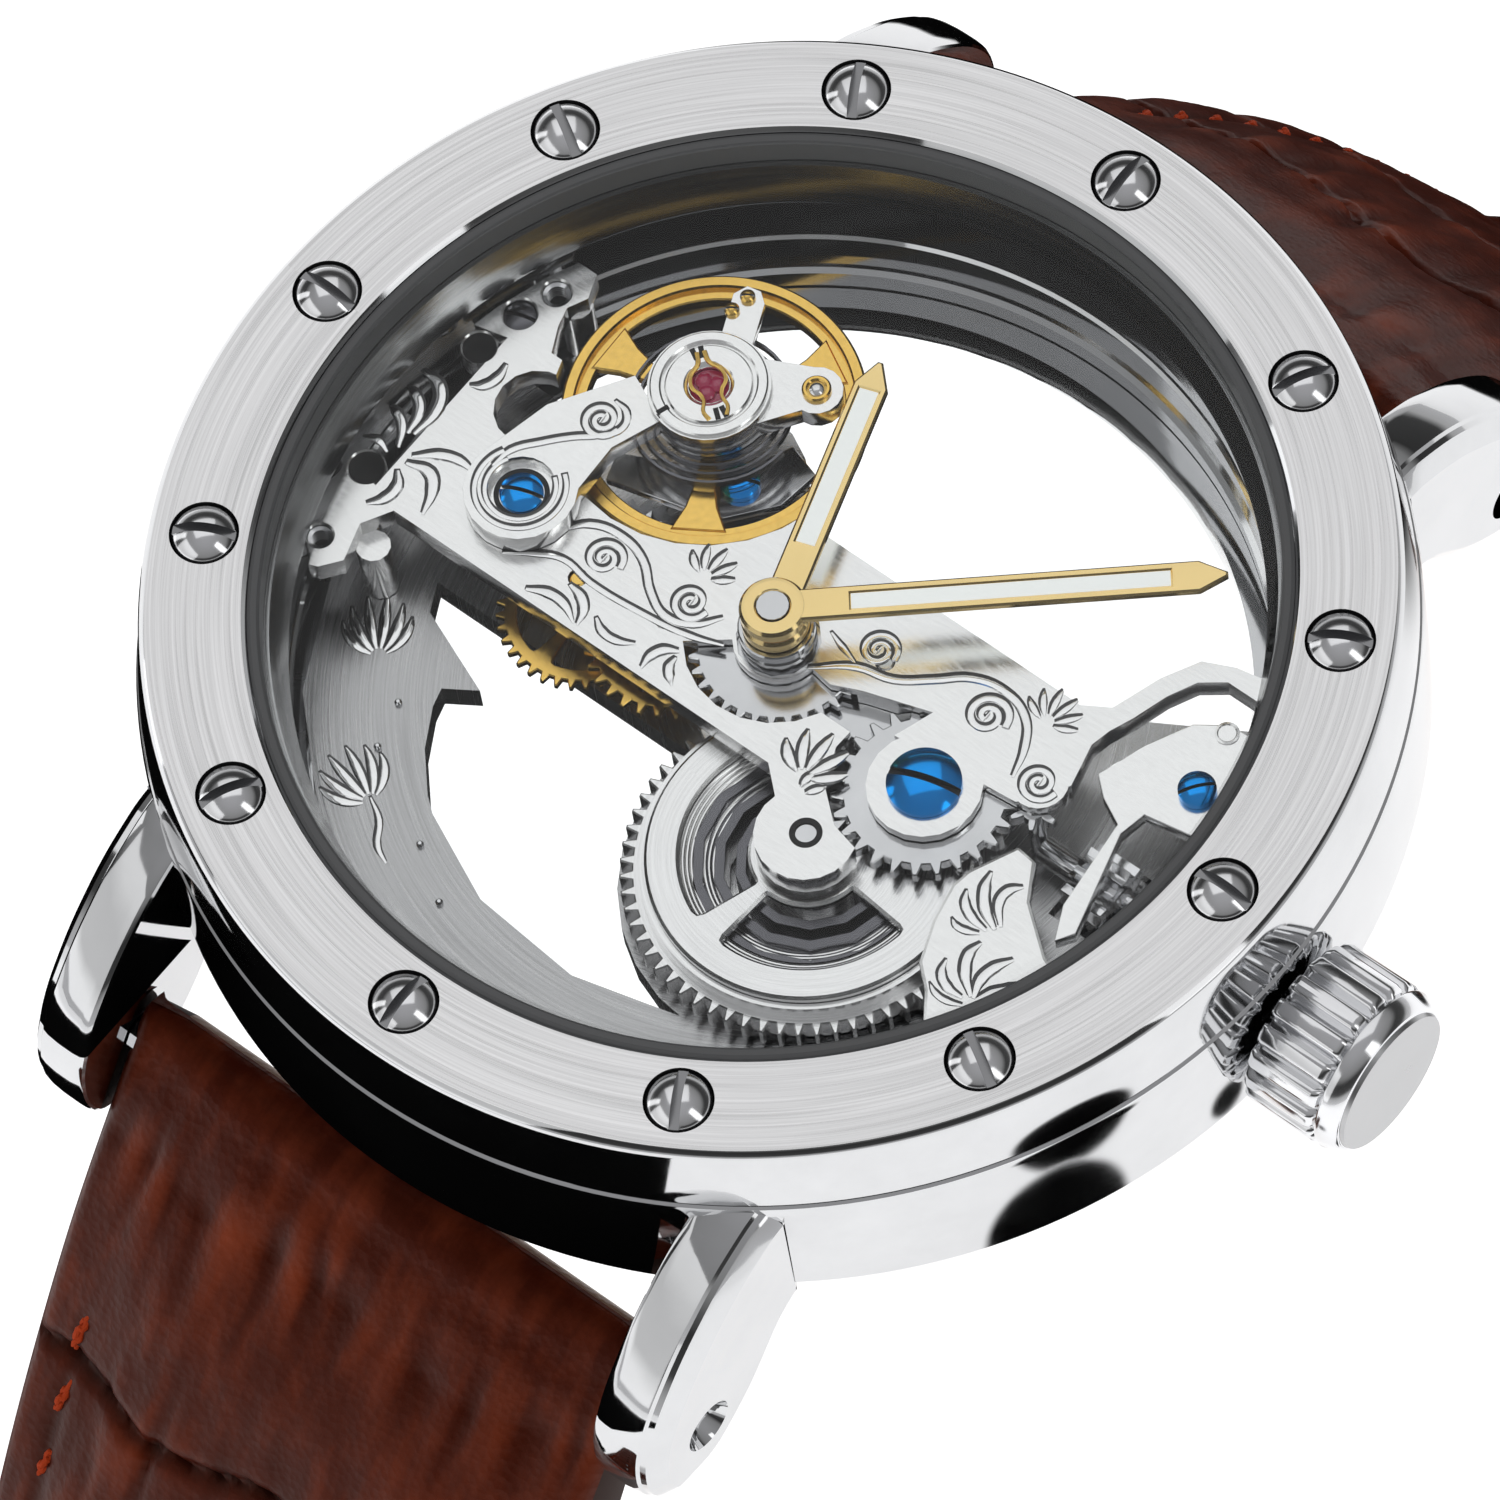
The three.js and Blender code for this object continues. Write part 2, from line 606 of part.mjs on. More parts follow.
const blueScrews = [
  ['cock_screw', cockScrewPlace, 0.75, 7.65, 0.4, 0.35, 1.2, 0.35],
  ['crown_wheel_screw', crownWheelCentre, 1.27, 7.15, 0.4, 0.55, 0.9, 0.3],
  ['keyless_screw', keylessScrewPlace, 0.65, 6.5, 0.35, 0.35, 1.5, 0.9],
  ['pallet_bridge_screw', palletScrewPlace, 0.68, 5.4, 0.35, 0.35, 1.6, 0.5],
];
for (const [name, place, radius, top, thickness, shank, depth, slotAngle] of blueScrews) {
  const body = slottedScrew(place, radius, top, thickness, shank, depth, slotAngle, 12);
  piece(head, name, body, finish.blueSteel);
}

// ---------------------------------------------------------------- wheels

function barrel() {
  let body = disc(barrelCentre, 5.7, 2.7, 5.4, 32);
  body = body.subtract(ring(barrelCentre, 1.35, 5.2, 3.1, 5.1, 20));
  body = body.subtract(disc(barrelCentre, 1.05, 0, 9, 16));
  body = body.add(gear(barrelCentre, barrelTeeth, trainModule, barrelPhase, 3.6, 4.4)
    .subtract(disc(barrelCentre, 5.5, 0, 9, 20)));
  for (const from of [105, 225, 345]) {
    body = body.subtract(slice(barrelCentre, 2.2, 4.2, from, from + 75, 4, 9));
  }
  return body;
}
piece(head, 'barrel', barrel(), finish.brushedSteel);

function spiral(middle, inner, outer, turns, stepsPerTurn, width) {
  const points = [];
  const steps = turns * stepsPerTurn;
  const radiusAt = (i) => inner + (outer - inner) * i / steps;
  const angleAt = (i) => 2 * Math.PI * i / stepsPerTurn;
  for (let i = 0; i <= steps; i += 1) {
    points.push(polar(middle, radiusAt(i) + width / 2, angleAt(i)));
  }
  for (let i = steps; i >= 0; i -= 1) {
    points.push(polar(middle, radiusAt(i) - width / 2, angleAt(i)));
  }
  return outline(points);
}
piece(head, 'mainspring', plate(spiral(barrelCentre, 1.9, 4.85, 4, 14, 0.35), 3.25, 4.95), finish.darkSteel);

function ratchetWheel() {
  const teeth = gear(ratchetCentre, ratchetTeeth, windingModule, 0, windingLow, windingHigh);
  const arbor = disc(ratchetCentre, 0.95, plateBottom + 0.5 + gap, 6, 16);
  const pivots = disc(ratchetCentre, 0.48, plateBottom + gap, bridgeTop - gap, 12);
  return teeth.add(arbor).add(pivots);
}
piece(head, 'ratchet_wheel', ratchetWheel(), finish.polishedSteel);

const crownWheelBody = gear(
  crownWheelCentre, crownWheelTeeth, windingModule, crownWheelPhase, windingLow, windingHigh,
).subtract(disc(crownWheelCentre, 0.6, 0, 9, 16));
piece(head, 'crown_wheel', crownWheelBody, finish.polishedSteel);
const transferBody = gear(
  transferCentre, transferTeeth, windingModule, transferPhase, windingLow, windingHigh,
).add(disc(transferCentre, 0.3, plateTop + gap, 6, 10));
piece(head, 'transfer_wheel', transferBody, finish.polishedSteel);

function centreArbor() {
  const body = disc(centre, 0.28, plateBottom + gap, 4, 10);
  return body
    .add(gear(centre, centreTeeth, trainModule, centrePhase, 3.4, 5.35))
    .add(gear(centre, cannonTeeth, motionModule, 0, 5.35, 5.9))
    .add(disc(centre, 0.55, 5.5, 9, 16));
}
piece(head, 'centre_arbor', centreArbor(), finish.polishedSteel);

function hand(angle, halfWidth, boss, tip, low, high, bossLow, bossHigh, bore) {
  const shoulder = tip - 0.95;
  const geometry = new THREE.ExtrudeGeometry(outline([
    [-halfWidth, 0], [halfWidth, 0], [halfWidth, shoulder], [0, tip], [-halfWidth, shoulder],
  ]), { depth: high - low, bevelEnabled: false });
  geometry.translate(0, 0, low);
  geometry.rotateZ(angle);
  return solid(geometry)
    .add(disc(centre, boss, bossLow, bossHigh, 20))
    .subtract(disc(centre, bore, 0, 10, 16));
}
const hourHandAngle = THREE.MathUtils.degToRad(18.3);
const minuteHandAngle = THREE.MathUtils.degToRad(-49.25);
piece(head, 'hour_hand', hand(hourHandAngle, 0.6, 1.14, 10.12, 8, 8.25, 7.75, 8.3, 0.88), finish.gold);
piece(head, 'minute_hand', hand(minuteHandAngle, 0.58, 1.14, 15.1, 8.7, 8.95, 8.45, 8.98, 0.58), finish.gold);

function hourWheel() {
  const teeth = gear(centre, hourTeeth, motionModule, hourPhase, 5.95, 6.25);
  const pipe = disc(centre, 1.3, 6.2, 7.65, 20).add(disc(centre, 0.84, 6.2, 8.35, 16));
  return teeth.add(pipe).subtract(disc(centre, 0.62, 0, 9, 16));
}
piece(head, 'hour_wheel', hourWheel(), finish.polishedSteel);

function minuteWheel() {
  return gear(minuteCentre, minuteTeeth, motionModule, minutePhase, 5.5, 5.75)
    .add(gear(minuteCentre, minutePinionTeeth, motionModule, 0, 5.7, 6.25))
    .add(disc(minuteCentre, 0.28, 5.4, bridgeTop - gap, 10));
}
piece(head, 'minute_wheel', minuteWheel(), finish.polishedSteel);

function thirdWheel() {
  const rim = gear(thirdCentre, thirdTeeth, trainModule, thirdPhase, 5.05, 5.3);
  return spoked(rim, thirdCentre, 0.9, 2.15, 4, 8, 0, 9)
    .add(disc(thirdCentre, 0.28, plateBottom + gap, bridgeTop - gap, 8));
}
piece(head, 'third_wheel', thirdWheel(), finish.gold);

function fourthWheel() {
  const rim = gear(fourthCentre, fourthTeeth, fourthModule, 0, 4.25, 4.5);
  return spoked(rim, fourthCentre, 0.9, 2.35, 4, 8, 0, 9)
    .add(gear(fourthCentre, fourthPinionTeeth, trainModule, fourthPinionPhase, 4.4, 5.4))
    .add(disc(fourthCentre, 0.28, plateBottom + gap, bridgeTop - gap, 10));
}
piece(head, 'fourth_wheel', fourthWheel(), finish.gold);

function escapeWheel() {
  return plate(outline(starPoints(escapeCentre, 15, 1.2, 1.6)), 3.7, 3.95)
    .add(gear(escapeCentre, escapePinionTeeth, fourthModule, escapePinionPhase, 3.9, 4.6))
    .add(disc(escapeCentre, 0.25, plateBottom + gap, 5.2, 10));
}
piece(head, 'escape_wheel', escapeWheel(), finish.polishedSteel);

// the fork stands clear of the escape wheel's tips and of the roller
function palletFork() {
  const middle = [escapeCentre[0], escapeCentre[1] + 2.25];
  const body = block([middle[0] - 1.15, middle[1] - 0.2, 3.7], [middle[0] + 1.15, middle[1] + 0.2, 3.95]);
  const lever = block([middle[0] - 0.15, middle[1], 3.7], [middle[0] + 0.15, balanceCentre[1] - 0.75, 3.95]);
  return body.add(lever).add(disc(middle, 0.2, plateTop + gap, 4.55, 10));
}
piece(head, 'pallet_fork', palletFork(), finish.polishedSteel);

function balanceWheel() {
  let body = ring(balanceCentre, 4.4, balanceRadius, 5.4, 6.2, 32);
  for (const spoke of [62, 182, 302]) {
    body = body.add(slice(balanceCentre, 0.3, 4.6, spoke - 7, spoke + 7, 5.75, 6.05));
  }
  return body
    .add(disc(balanceCentre, 0.8, 5.3, 6.1, 16))
    .add(disc(balanceCentre, 0.28, plateBottom + gap, 7.4, 10));
}
piece(head, 'balance_wheel', balanceWheel(), finish.gold);
piece(head, 'hairspring', plate(spiral(balanceCentre, 0.7, 3, 4, 12, 0.12), 6.25, 6.6), finish.darkSteel);

// ---------------------------------------------------------------- strap

// The middle line of a strap half in side view: straight off the spring bar, steeper and steeper down,
// then a bend that lays the rest flat. The steep stretch is as long as the drop to the flat part needs.
function strapLine(length, startAngle, flatHeight) {
  const straight = 5;
  const steepAngle = THREE.MathUtils.degToRad(67);
  const bendRadius = 12.8;
  const start = THREE.MathUtils.degToRad(startAngle);
  const bendDrop = bendRadius * (1 - Math.cos(steepAngle));
  const steepDrop = barZ - flatHeight - bendDrop - straight * Math.sin(start);
  const turn = steepAngle - start;
  const steepLength = steepDrop * turn / (Math.cos(start) - Math.cos(steepAngle));
  const bendLength = bendRadius * steepAngle;
  const flatLength = length - straight - steepLength - bendLength;
  const stretches = [
    [straight, 0, 2], [steepLength, turn, 8], [bendLength, -steepAngle, 6], [flatLength, 0, 3],
  ];
  const line = [{ y: barY, z: barZ, angle: start, s: 0 }];
  const finerSteps = 20;
  let { y, z, angle, s } = line[0];
  for (const [stretch, bend, steps] of stretches) {
    for (let i = 0; i < steps; i += 1) {
      for (let j = 0; j < finerSteps; j += 1) {
        const part = 1 / (steps * finerSteps);
        angle += bend * part / 2;
        y += stretch * part * Math.cos(angle);
        z -= stretch * part * Math.sin(angle);
        angle += bend * part / 2;
        s += stretch * part;
      }
      line.push({ y, z, angle, s });
    }
  }
  return line;
}

function strapHalfHeight(s) {
  const rise = THREE.MathUtils.smoothstep(s, 0, 9);
  const fall = THREE.MathUtils.smoothstep(s, 16, 44);
  const swell = (strapPadHeight - strapEndRadius) * rise;
  const thinning = (strapPadHeight - strapThinHeight) * fall;
  return strapEndRadius + swell - thinning;
}

function strapHalf(side, length, startAngle, flatHeight, ends) {
  const line = strapLine(length, startAngle, flatHeight);
  const profile = [];
  for (let i = 1; i < 6; i += 1) {
    const around = line[0].angle + Math.PI / 2 + i * Math.PI / 6;
    profile.push([barY + strapEndRadius * Math.cos(around), barZ - strapEndRadius * Math.sin(around)]);
  }
  for (const { y, z, angle, s } of line) {
    const height = strapHalfHeight(s);
    profile.push([y + height * Math.sin(angle), z + height * Math.cos(angle)]);
  }
  for (const { y, z, angle, s } of [...line].reverse()) {
    const height = strapHalfHeight(s);
    profile.push([y - height * Math.sin(angle), z - height * Math.cos(angle)]);
  }
  const last = line[line.length - 1];
  const sideView = outline(profile.map(([y, z]) => [side * y, z]));
  const topView = outline(ends(last.y).map(([x, y]) => [x, side * y]));
  const body = sideways(sideView, -12, 12).intersect(plate(topView, -60, 10));
  return { body: body.subtract(alongX(barRadius + gap, -12, 12, side * barY, barZ, 12)), last };
}

const shortEnd = (end) => [
  [strapHalfWidth, 19], [strapHalfWidth, 26], [strapEndHalfWidth, end + 3],
  [-strapEndHalfWidth, end + 3], [-strapHalfWidth, 26], [-strapHalfWidth, 19],
];
const pointedEnd = (end) => [
  [strapHalfWidth, 19], [strapHalfWidth, 26], [strapEndHalfWidth, end - 9],
  [7.6, end - 4.8], [4.6, end - 1.6], [0, end], [-4.6, end - 1.6], [-7.6, end - 4.8],
  [-strapEndHalfWidth, end - 9], [-strapHalfWidth, 26], [-strapHalfWidth, 19],
];

const shortFlat = floorHeight + keeperThickness + strapThinHeight;
const short = strapHalf(1, shortStrapLength, 52, shortFlat, shortEnd);
const buckleY = short.last.y;

function shortStrap() {
  const halfLength = strapEndHalfWidth - gap;
  return short.body
    .add(alongX(strapThinHeight - gap, -halfLength, halfLength, buckleY, shortFlat, 12))
    .subtract(alongX(buckleBarRadius + gap, -12, 12, buckleY, shortFlat, 12))
    .subtract(block([-1.4, buckleY - 4, shortFlat - 3], [1.4, buckleY + 3, shortFlat + 3]));
}
piece(strap, 'strap_12', shortStrap(), finish.leather);

function longStrap() {
  const holeSpacing = 6.5;
  const long = strapHalf(-1, longStrapLength, 55, floorHeight + strapThinHeight, pointedEnd);
  let body = long.body;
  for (let i = 0; i < 6; i += 1) {
    body = body.subtract(disc([0, -long.last.y + 22 + i * holeSpacing], 0.95, -50, -43, 8));
  }
  return body;
}
piece(strap, 'strap_6', longStrap(), finish.leather);

// a leather loop round the strap, with room above it for the other half's tail
function keeper(from, width, slack) {
  const top = shortFlat + strapThinHeight + 2.6;
  const halfWidth = 9.85 + slack;
  const outer = block(
    [-halfWidth - keeperThickness, from, floorHeight],
    [halfWidth + keeperThickness, from + width, top + keeperThickness],
  );
  const inner = block(
    [-halfWidth, from - 1, floorHeight + keeperThickness - 0.03], [halfWidth, from + width + 1, top],
  );
  return outer.subtract(inner);
}
piece(strap, 'fixed_keeper', keeper(buckleY - 12.5, 4, 0), finish.leather);
piece(strap, 'free_keeper', keeper(buckleY - 19, 4, 0.2), finish.leather);

function buckleFrame() {
  const front = buckleY + 9.5;
  const back = buckleY - 1.6;
  const frame = [
    [11.4, back], [11.4, front - 2], [9.6, front], [-9.6, front], [-11.4, front - 2], [-11.4, back],
    [-9.3, back], [-9.3, front - 2.4], [9.3, front - 2.4], [9.3, back],
  ];
  const body = plate(outline(frame), shortFlat - 1.2, shortFlat + 1.2);
  return body.subtract(alongX(buckleBarRadius + gap, -11, 11, buckleY, shortFlat, 12));
}
piece(strap, 'buckle_frame', buckleFrame(), finish.polishedSteel);
const buckleBar = alongX(buckleBarRadius, -10.9, 10.9, buckleY, shortFlat, 12);
piece(strap, 'buckle_bar', buckleBar, finish.polishedSteel);

function buckleProng() {
  const sideView = [[0, 0.2], [0, 1.15], [4, 2.05], [9.7, 2.4], [9.7, 1.5], [4, 1.15], [2, 0.2]];
  const placed = sideView.map(([y, z]) => [buckleY + y, shortFlat + z]);
  return sideways(outline(placed), -1.1, 1.1)
    .add(alongX(1.15, -1.1, 1.1, buckleY, shortFlat, 16))
    .subtract(alongX(buckleBarRadius + gap, -2, 2, buckleY, shortFlat, 12));
}
piece(strap, 'buckle_prong', buckleProng(), finish.polishedSteel);

export default watch;
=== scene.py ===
"""Skeleton wristwatch: fine meshes, materials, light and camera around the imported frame.

Shapes are worked out in millimetres in the frame of the CAD model and turned into metres when they
become pieces: the origin is the centre of the case back, +X is 3 o'clock, +Y is 12 o'clock, +Z is up.
"""
import json
import math

import bmesh
import bpy
from mathutils import Matrix, Vector, noise
from mathutils.geometry import tessellate_polygon


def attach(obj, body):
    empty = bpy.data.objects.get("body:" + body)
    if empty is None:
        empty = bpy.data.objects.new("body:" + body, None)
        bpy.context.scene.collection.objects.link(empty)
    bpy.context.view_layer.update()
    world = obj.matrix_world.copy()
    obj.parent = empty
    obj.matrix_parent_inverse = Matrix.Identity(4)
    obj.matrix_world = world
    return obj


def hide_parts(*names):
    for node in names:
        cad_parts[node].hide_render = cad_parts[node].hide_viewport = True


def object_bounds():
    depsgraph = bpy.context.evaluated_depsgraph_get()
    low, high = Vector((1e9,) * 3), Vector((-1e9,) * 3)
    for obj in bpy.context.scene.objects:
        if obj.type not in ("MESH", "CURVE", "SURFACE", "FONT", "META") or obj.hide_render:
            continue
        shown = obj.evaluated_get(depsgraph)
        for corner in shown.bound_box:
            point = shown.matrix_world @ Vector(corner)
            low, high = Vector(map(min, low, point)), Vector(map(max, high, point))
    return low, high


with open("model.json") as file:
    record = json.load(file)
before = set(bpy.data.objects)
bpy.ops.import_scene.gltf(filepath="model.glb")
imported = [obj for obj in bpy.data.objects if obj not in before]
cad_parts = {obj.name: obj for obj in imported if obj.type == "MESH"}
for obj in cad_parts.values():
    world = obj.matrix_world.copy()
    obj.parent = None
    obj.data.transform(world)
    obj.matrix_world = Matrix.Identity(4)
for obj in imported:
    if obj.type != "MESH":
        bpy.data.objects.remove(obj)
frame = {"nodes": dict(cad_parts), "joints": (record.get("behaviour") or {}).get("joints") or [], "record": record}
cad_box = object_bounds()

MM = 0.001
joints = {joint["name"]: joint for joint in frame["joints"]}


def joint_place(name):
    """The (x, y) of a joint in millimetres."""
    return tuple(value / MM for value in joints[name]["pos_m"][:2])


# ---------------------------------------------------------------- camera, light and floor

def make_camera():
    """The photograph's long lens, fitted to the circle of bezel screws: place, axes and focal length."""
    location = Vector((0.18267, -0.16273, 0.45219))
    right = Vector((0.7748, 0.6256, -0.0913))
    up = Vector((-0.5217, 0.7143, 0.4665))
    back = Vector((0.3571, -0.3138, 0.8798))
    data = bpy.data.cameras.new("camera")
    data.sensor_width = 36
    data.lens = 367.44
    data.clip_start = 0.01
    camera = bpy.data.objects.new("camera", data)
    bpy.context.collection.objects.link(camera)
    camera.matrix_world = Matrix.Translation(location) @ Matrix((right, up, back)).transposed().to_4x4()
    bpy.context.scene.camera = camera


def softbox(name, direction, distance, width, height, radiance):
    """A rectangular light of even brightness that faces the watch."""
    data = bpy.data.lights.new(name, "AREA")
    data.shape = "RECTANGLE"
    data.size = width
    data.size_y = height
    data.energy = radiance * math.pi * width * height
    light = bpy.data.objects.new(name, data)
    towards = Vector(direction).normalized()
    light.location = towards * distance
    light.rotation_euler = (-towards).to_track_quat("-Z", "Y").to_euler()
    bpy.context.collection.objects.link(light)


def make_world():
    """A dim room, darkest above the horizon, so that polished steel has something to show."""
    world = bpy.data.worlds.new("studio")
    bpy.context.scene.world = world
    world.use_nodes = True
    nodes = world.node_tree.nodes
    links = world.node_tree.links
    where = nodes.new("ShaderNodeTexCoord")
    split = nodes.new("ShaderNodeSeparateXYZ")
    links.new(where.outputs["Generated"], split.inputs[0])
    ramp = nodes.new("ShaderNodeValToRGB")
    links.new(split.outputs["Z"], ramp.inputs[0])
    stops = ramp.color_ramp.elements
    stops[0].position = 0.0
    stops[0].color = (0.6, 0.6, 0.61, 1)
    stops[1].position = 1.0
    stops[1].color = (0.4, 0.4, 0.41, 1)
    for position, level in ((0.12, 0.5), (0.2, 0.06), (0.45, 0.04), (0.6, 0.25)):
        stop = stops.new(position)
        stop.color = (level, level, level, 1)
    links.new(ramp.outputs[0], nodes["Background"].inputs["Color"])


def make_floor(height):
    """A pale light table: it glows a little, so that it stays white under the watch."""
    radius = 2.5
    sides = 96
    mesh = bpy.data.meshes.new("floor")
    rim = [(radius * math.cos(2 * math.pi * i / sides), radius * math.sin(2 * math.pi * i / sides), height)
           for i in range(sides)]
    mesh.from_pydata(rim, [], [tuple(range(sides))])
    floor = bpy.data.objects.new("floor", mesh)
    bpy.context.collection.objects.link(floor)
    look = bpy.data.materials.new("pale_floor")
    look.use_nodes = True
    shader = look.node_tree.nodes["Principled BSDF"]
    shader.inputs["Base Color"].default_value = (0.9, 0.9, 0.9, 1)
    shader.inputs["Roughness"].default_value = 0.8
    shader.inputs["Emission Color"].default_value = (1, 1, 1, 1)
    shader.inputs["Emission Strength"].default_value = 0.85
    mesh.materials.append(look)


def mirror_only(name, rim, softness=0.0):
    """A level black card that only mirrors see: it gives polished steel its dark bands."""
    mesh = bpy.data.meshes.new(name)
    mesh.from_pydata([(x, y, 0) for x, y in rim], [], [tuple(range(len(rim)))])
    flag = bpy.data.objects.new(name, mesh)
    bpy.context.collection.objects.link(flag)
    black = bpy.data.materials.new(name)
    black.use_nodes = True
    nodes = black.node_tree.nodes
    links = black.node_tree.links
    shader = nodes["Principled BSDF"]
    shader.inputs["Base Color"].default_value = (0.004, 0.004, 0.004, 1)
    shader.inputs["Specular IOR Level"].default_value = 0
    if softness:
        where = nodes.new("ShaderNodeTexCoord")
        reach = nodes.new("ShaderNodeVectorMath")
        reach.operation = "LENGTH"
        links.new(where.outputs["Object"], reach.inputs[0])
        fade = nodes.new("ShaderNodeMapRange")
        fade.interpolation_type = "SMOOTHSTEP"
        fade.inputs["From Min"].default_value = 1 - softness
        fade.inputs["From Max"].default_value = 1
        fade.inputs["To Min"].default_value = 1
        fade.inputs["To Max"].default_value = 0
        links.new(reach.outputs["Value"], fade.inputs["Value"])
        links.new(fade.outputs[0], shader.inputs["Alpha"])
    mesh.materials.append(black)
    flag.visible_camera = False
    flag.visible_diffuse = False
    flag.visible_shadow = False
    flag.visible_transmission = False
    return flag


def dark_flag(name, centre, radius_x, radius_y, turn=0.0, softness=0.0):
    """An oval dark card at a place, turned about the vertical."""
    sides = 48
    rim = [(math.cos(2 * math.pi * i / sides), math.sin(2 * math.pi * i / sides)) for i in range(sides)]
    flag = mirror_only(name, rim, softness)
    flag.location = centre
    flag.scale = (radius_x, radius_y, 1)
    flag.rotation_euler = (0, 0, turn)


def dark_sector(name, inner, outer, first, last, height):
    """A dark card in the shape of part of a ring about the watch's axis; angles in degrees."""
    steps = 32
    angles = [math.radians(first + (last - first) * i / steps) for i in range(steps + 1)]
    rim = [(outer * math.cos(a), outer * math.sin(a)) for a in angles]
    rim += [(inner * math.cos(a), inner * math.sin(a)) for a in reversed(angles)]
    mirror_only(name, rim).location = (0, 0, height)


make_camera()
make_world()
make_floor(cad_box[0][2] - 0.0002)
bpy.context.scene.view_settings.view_transform = "Standard"
softbox("overhead", (-0.357, 0.314, 0.88), 0.65, 0.62, 0.62, 0.54)
softbox("right_strip", (0.75, 0.1, 0.5), 0.6, 0.16, 0.6, 1.3)
softbox("front_box", (-0.36, -0.84, 0.42), 0.6, 0.6, 0.5, 0.7)
softbox("left_strip", (-0.9, -0.35, 0.3), 0.6, 0.12, 0.5, 1.0)
dark_sector("flag_round_case", 0.02155, 0.036, -158, -64, 0.0012)
dark_flag("flag_under_case", (0, 0, -0.0004), 0.0153, 0.0153)
flag_level = cad_box[0][2] + 0.001
for name, x, y, radius_x, radius_y, turn, softness in (
        ("flag_left", -0.031, -0.035, 0.032, 0.013, -0.97, 0.0),
        ("flag_right", 0.0435, -0.0145, 0.0092, 0.0125, 1.2, 0.15),
        ("flag_far_right", 0.0665, -0.018, 0.0115, 0.0135, 1.2, 0.15),
        ("flag_crown", 0.046, 0.008, 0.0028, 0.0032, 1.5, 0.3),
        ("flag_upper_strap", -0.02, 0.088, 0.065, 0.05, 0.0, 0.3),
        ("flag_behind", 0.02, -0.06, 0.02, 0.012, 0.6, 0.9)):
    dark_flag(name, (x, y, flag_level), radius_x, radius_y, turn, softness)


# ---------------------------------------------------------------- materials

def look(name, color, metallic=0.0, roughness=0.5, **sockets):
    made = bpy.data.materials.new(name)
    made.use_nodes = True
    shader = made.node_tree.nodes["Principled BSDF"]
    shader.inputs["Base Color"].default_value = (*color, 1)
    shader.inputs["Metallic"].default_value = metallic
    shader.inputs["Roughness"].default_value = roughness
    for socket, value in sockets.items():
        shader.inputs[socket.replace("_", " ")].default_value = value
    return made


def add_node(made, kind, inputs=(), **settings):
    """A node in a material; each input is a (socket, value or other node's output) pair."""
    new = made.node_tree.nodes.new(kind)
    for key, value in settings.items():
        setattr(new, key, value)
    for key, value in inputs:
        if isinstance(value, bpy.types.NodeSocket):
            made.node_tree.links.new(value, new.inputs[key])
        else:
            new.inputs[key].default_value = value
    return new


def shader_of(made):
    return made.node_tree.nodes["Principled BSDF"]


def object_coordinates(made, stretch):
    where = add_node(made, "ShaderNodeTexCoord")
    return add_node(made, "ShaderNodeMapping", [(0, where.outputs["Object"]), ("Scale", stretch)]).outputs[0]


def ring_coordinates(made, centre, across, along):
    """Coordinates that run round a centre: fine across the radius, long along the ring."""
    where = add_node(made, "ShaderNodeTexCoord").outputs["Object"]
    shift = (-centre[0] * MM, -centre[1] * MM, 0)
    moved = add_node(made, "ShaderNodeVectorMath", [(0, where), (1, shift)], operation="ADD").outputs[0]
    split = add_node(made, "ShaderNodeSeparateXYZ", [(0, moved)])
    flat = add_node(made, "ShaderNodeCombineXYZ", [(0, split.outputs[0]), (1, split.outputs[1])]).outputs[0]
    radius = add_node(made, "ShaderNodeVectorMath", [(0, flat)], operation="LENGTH").outputs["Value"]
    angle = calculated(made, "ARCTAN2", split.outputs[1], split.outputs[0])
    fine = calculated(made, "MULTIPLY", radius, across)
    slow = calculated(made, "MULTIPLY", angle, along)
    return add_node(made, "ShaderNodeCombineXYZ", [(0, fine), (1, slow), (2, split.outputs[2])]).outputs[0]


def noise_of(made, coordinates, detail, roughness=0.5):
    """The grey output of a noise that takes its scale from its coordinates."""
    inputs = [("Vector", coordinates), ("Scale", 1.0), ("Detail", detail), ("Roughness", roughness)]
    return add_node(made, "ShaderNodeTexNoise", inputs).outputs["Fac"]


def calculated(made, operation, *values):
    inputs = list(enumerate(values))
    return add_node(made, "ShaderNodeMath", inputs, operation=operation).outputs[0]


def paint(made, factor, *stops):
    """Base colour from a factor, through a ramp of (position, colour) stops."""
    ramp = add_node(made, "ShaderNodeValToRGB", [(0, factor)])
    elements = ramp.color_ramp.elements
    while len(elements) < len(stops):
        elements.new(0.5)
    for element, (position, color) in zip(elements, stops):
        element.position = position
        element.color = (*color, 1)
    made.node_tree.links.new(ramp.outputs[0], shader_of(made).inputs["Base Color"])


def vary_roughness(made, factor, low, high, first=0.0, last=1.0):
    """Roughness between low and high as a factor goes from first to last."""
    inputs = [("Value", factor), ("From Min", first), ("From Max", last), ("To Min", low), ("To Max", high)]
    rough = add_node(made, "ShaderNodeMapRange", inputs)
    made.node_tree.links.new(rough.outputs[0], shader_of(made).inputs["Roughness"])


def raise_grain(made, height, strength, distance):
    """Fine relief from a height."""
    inputs = [("Height", height), ("Strength", strength), ("Distance", distance)]
    relief = add_node(made, "ShaderNodeBump", inputs)
    made.node_tree.links.new(relief.outputs[0], shader_of(made).inputs["Normal"])


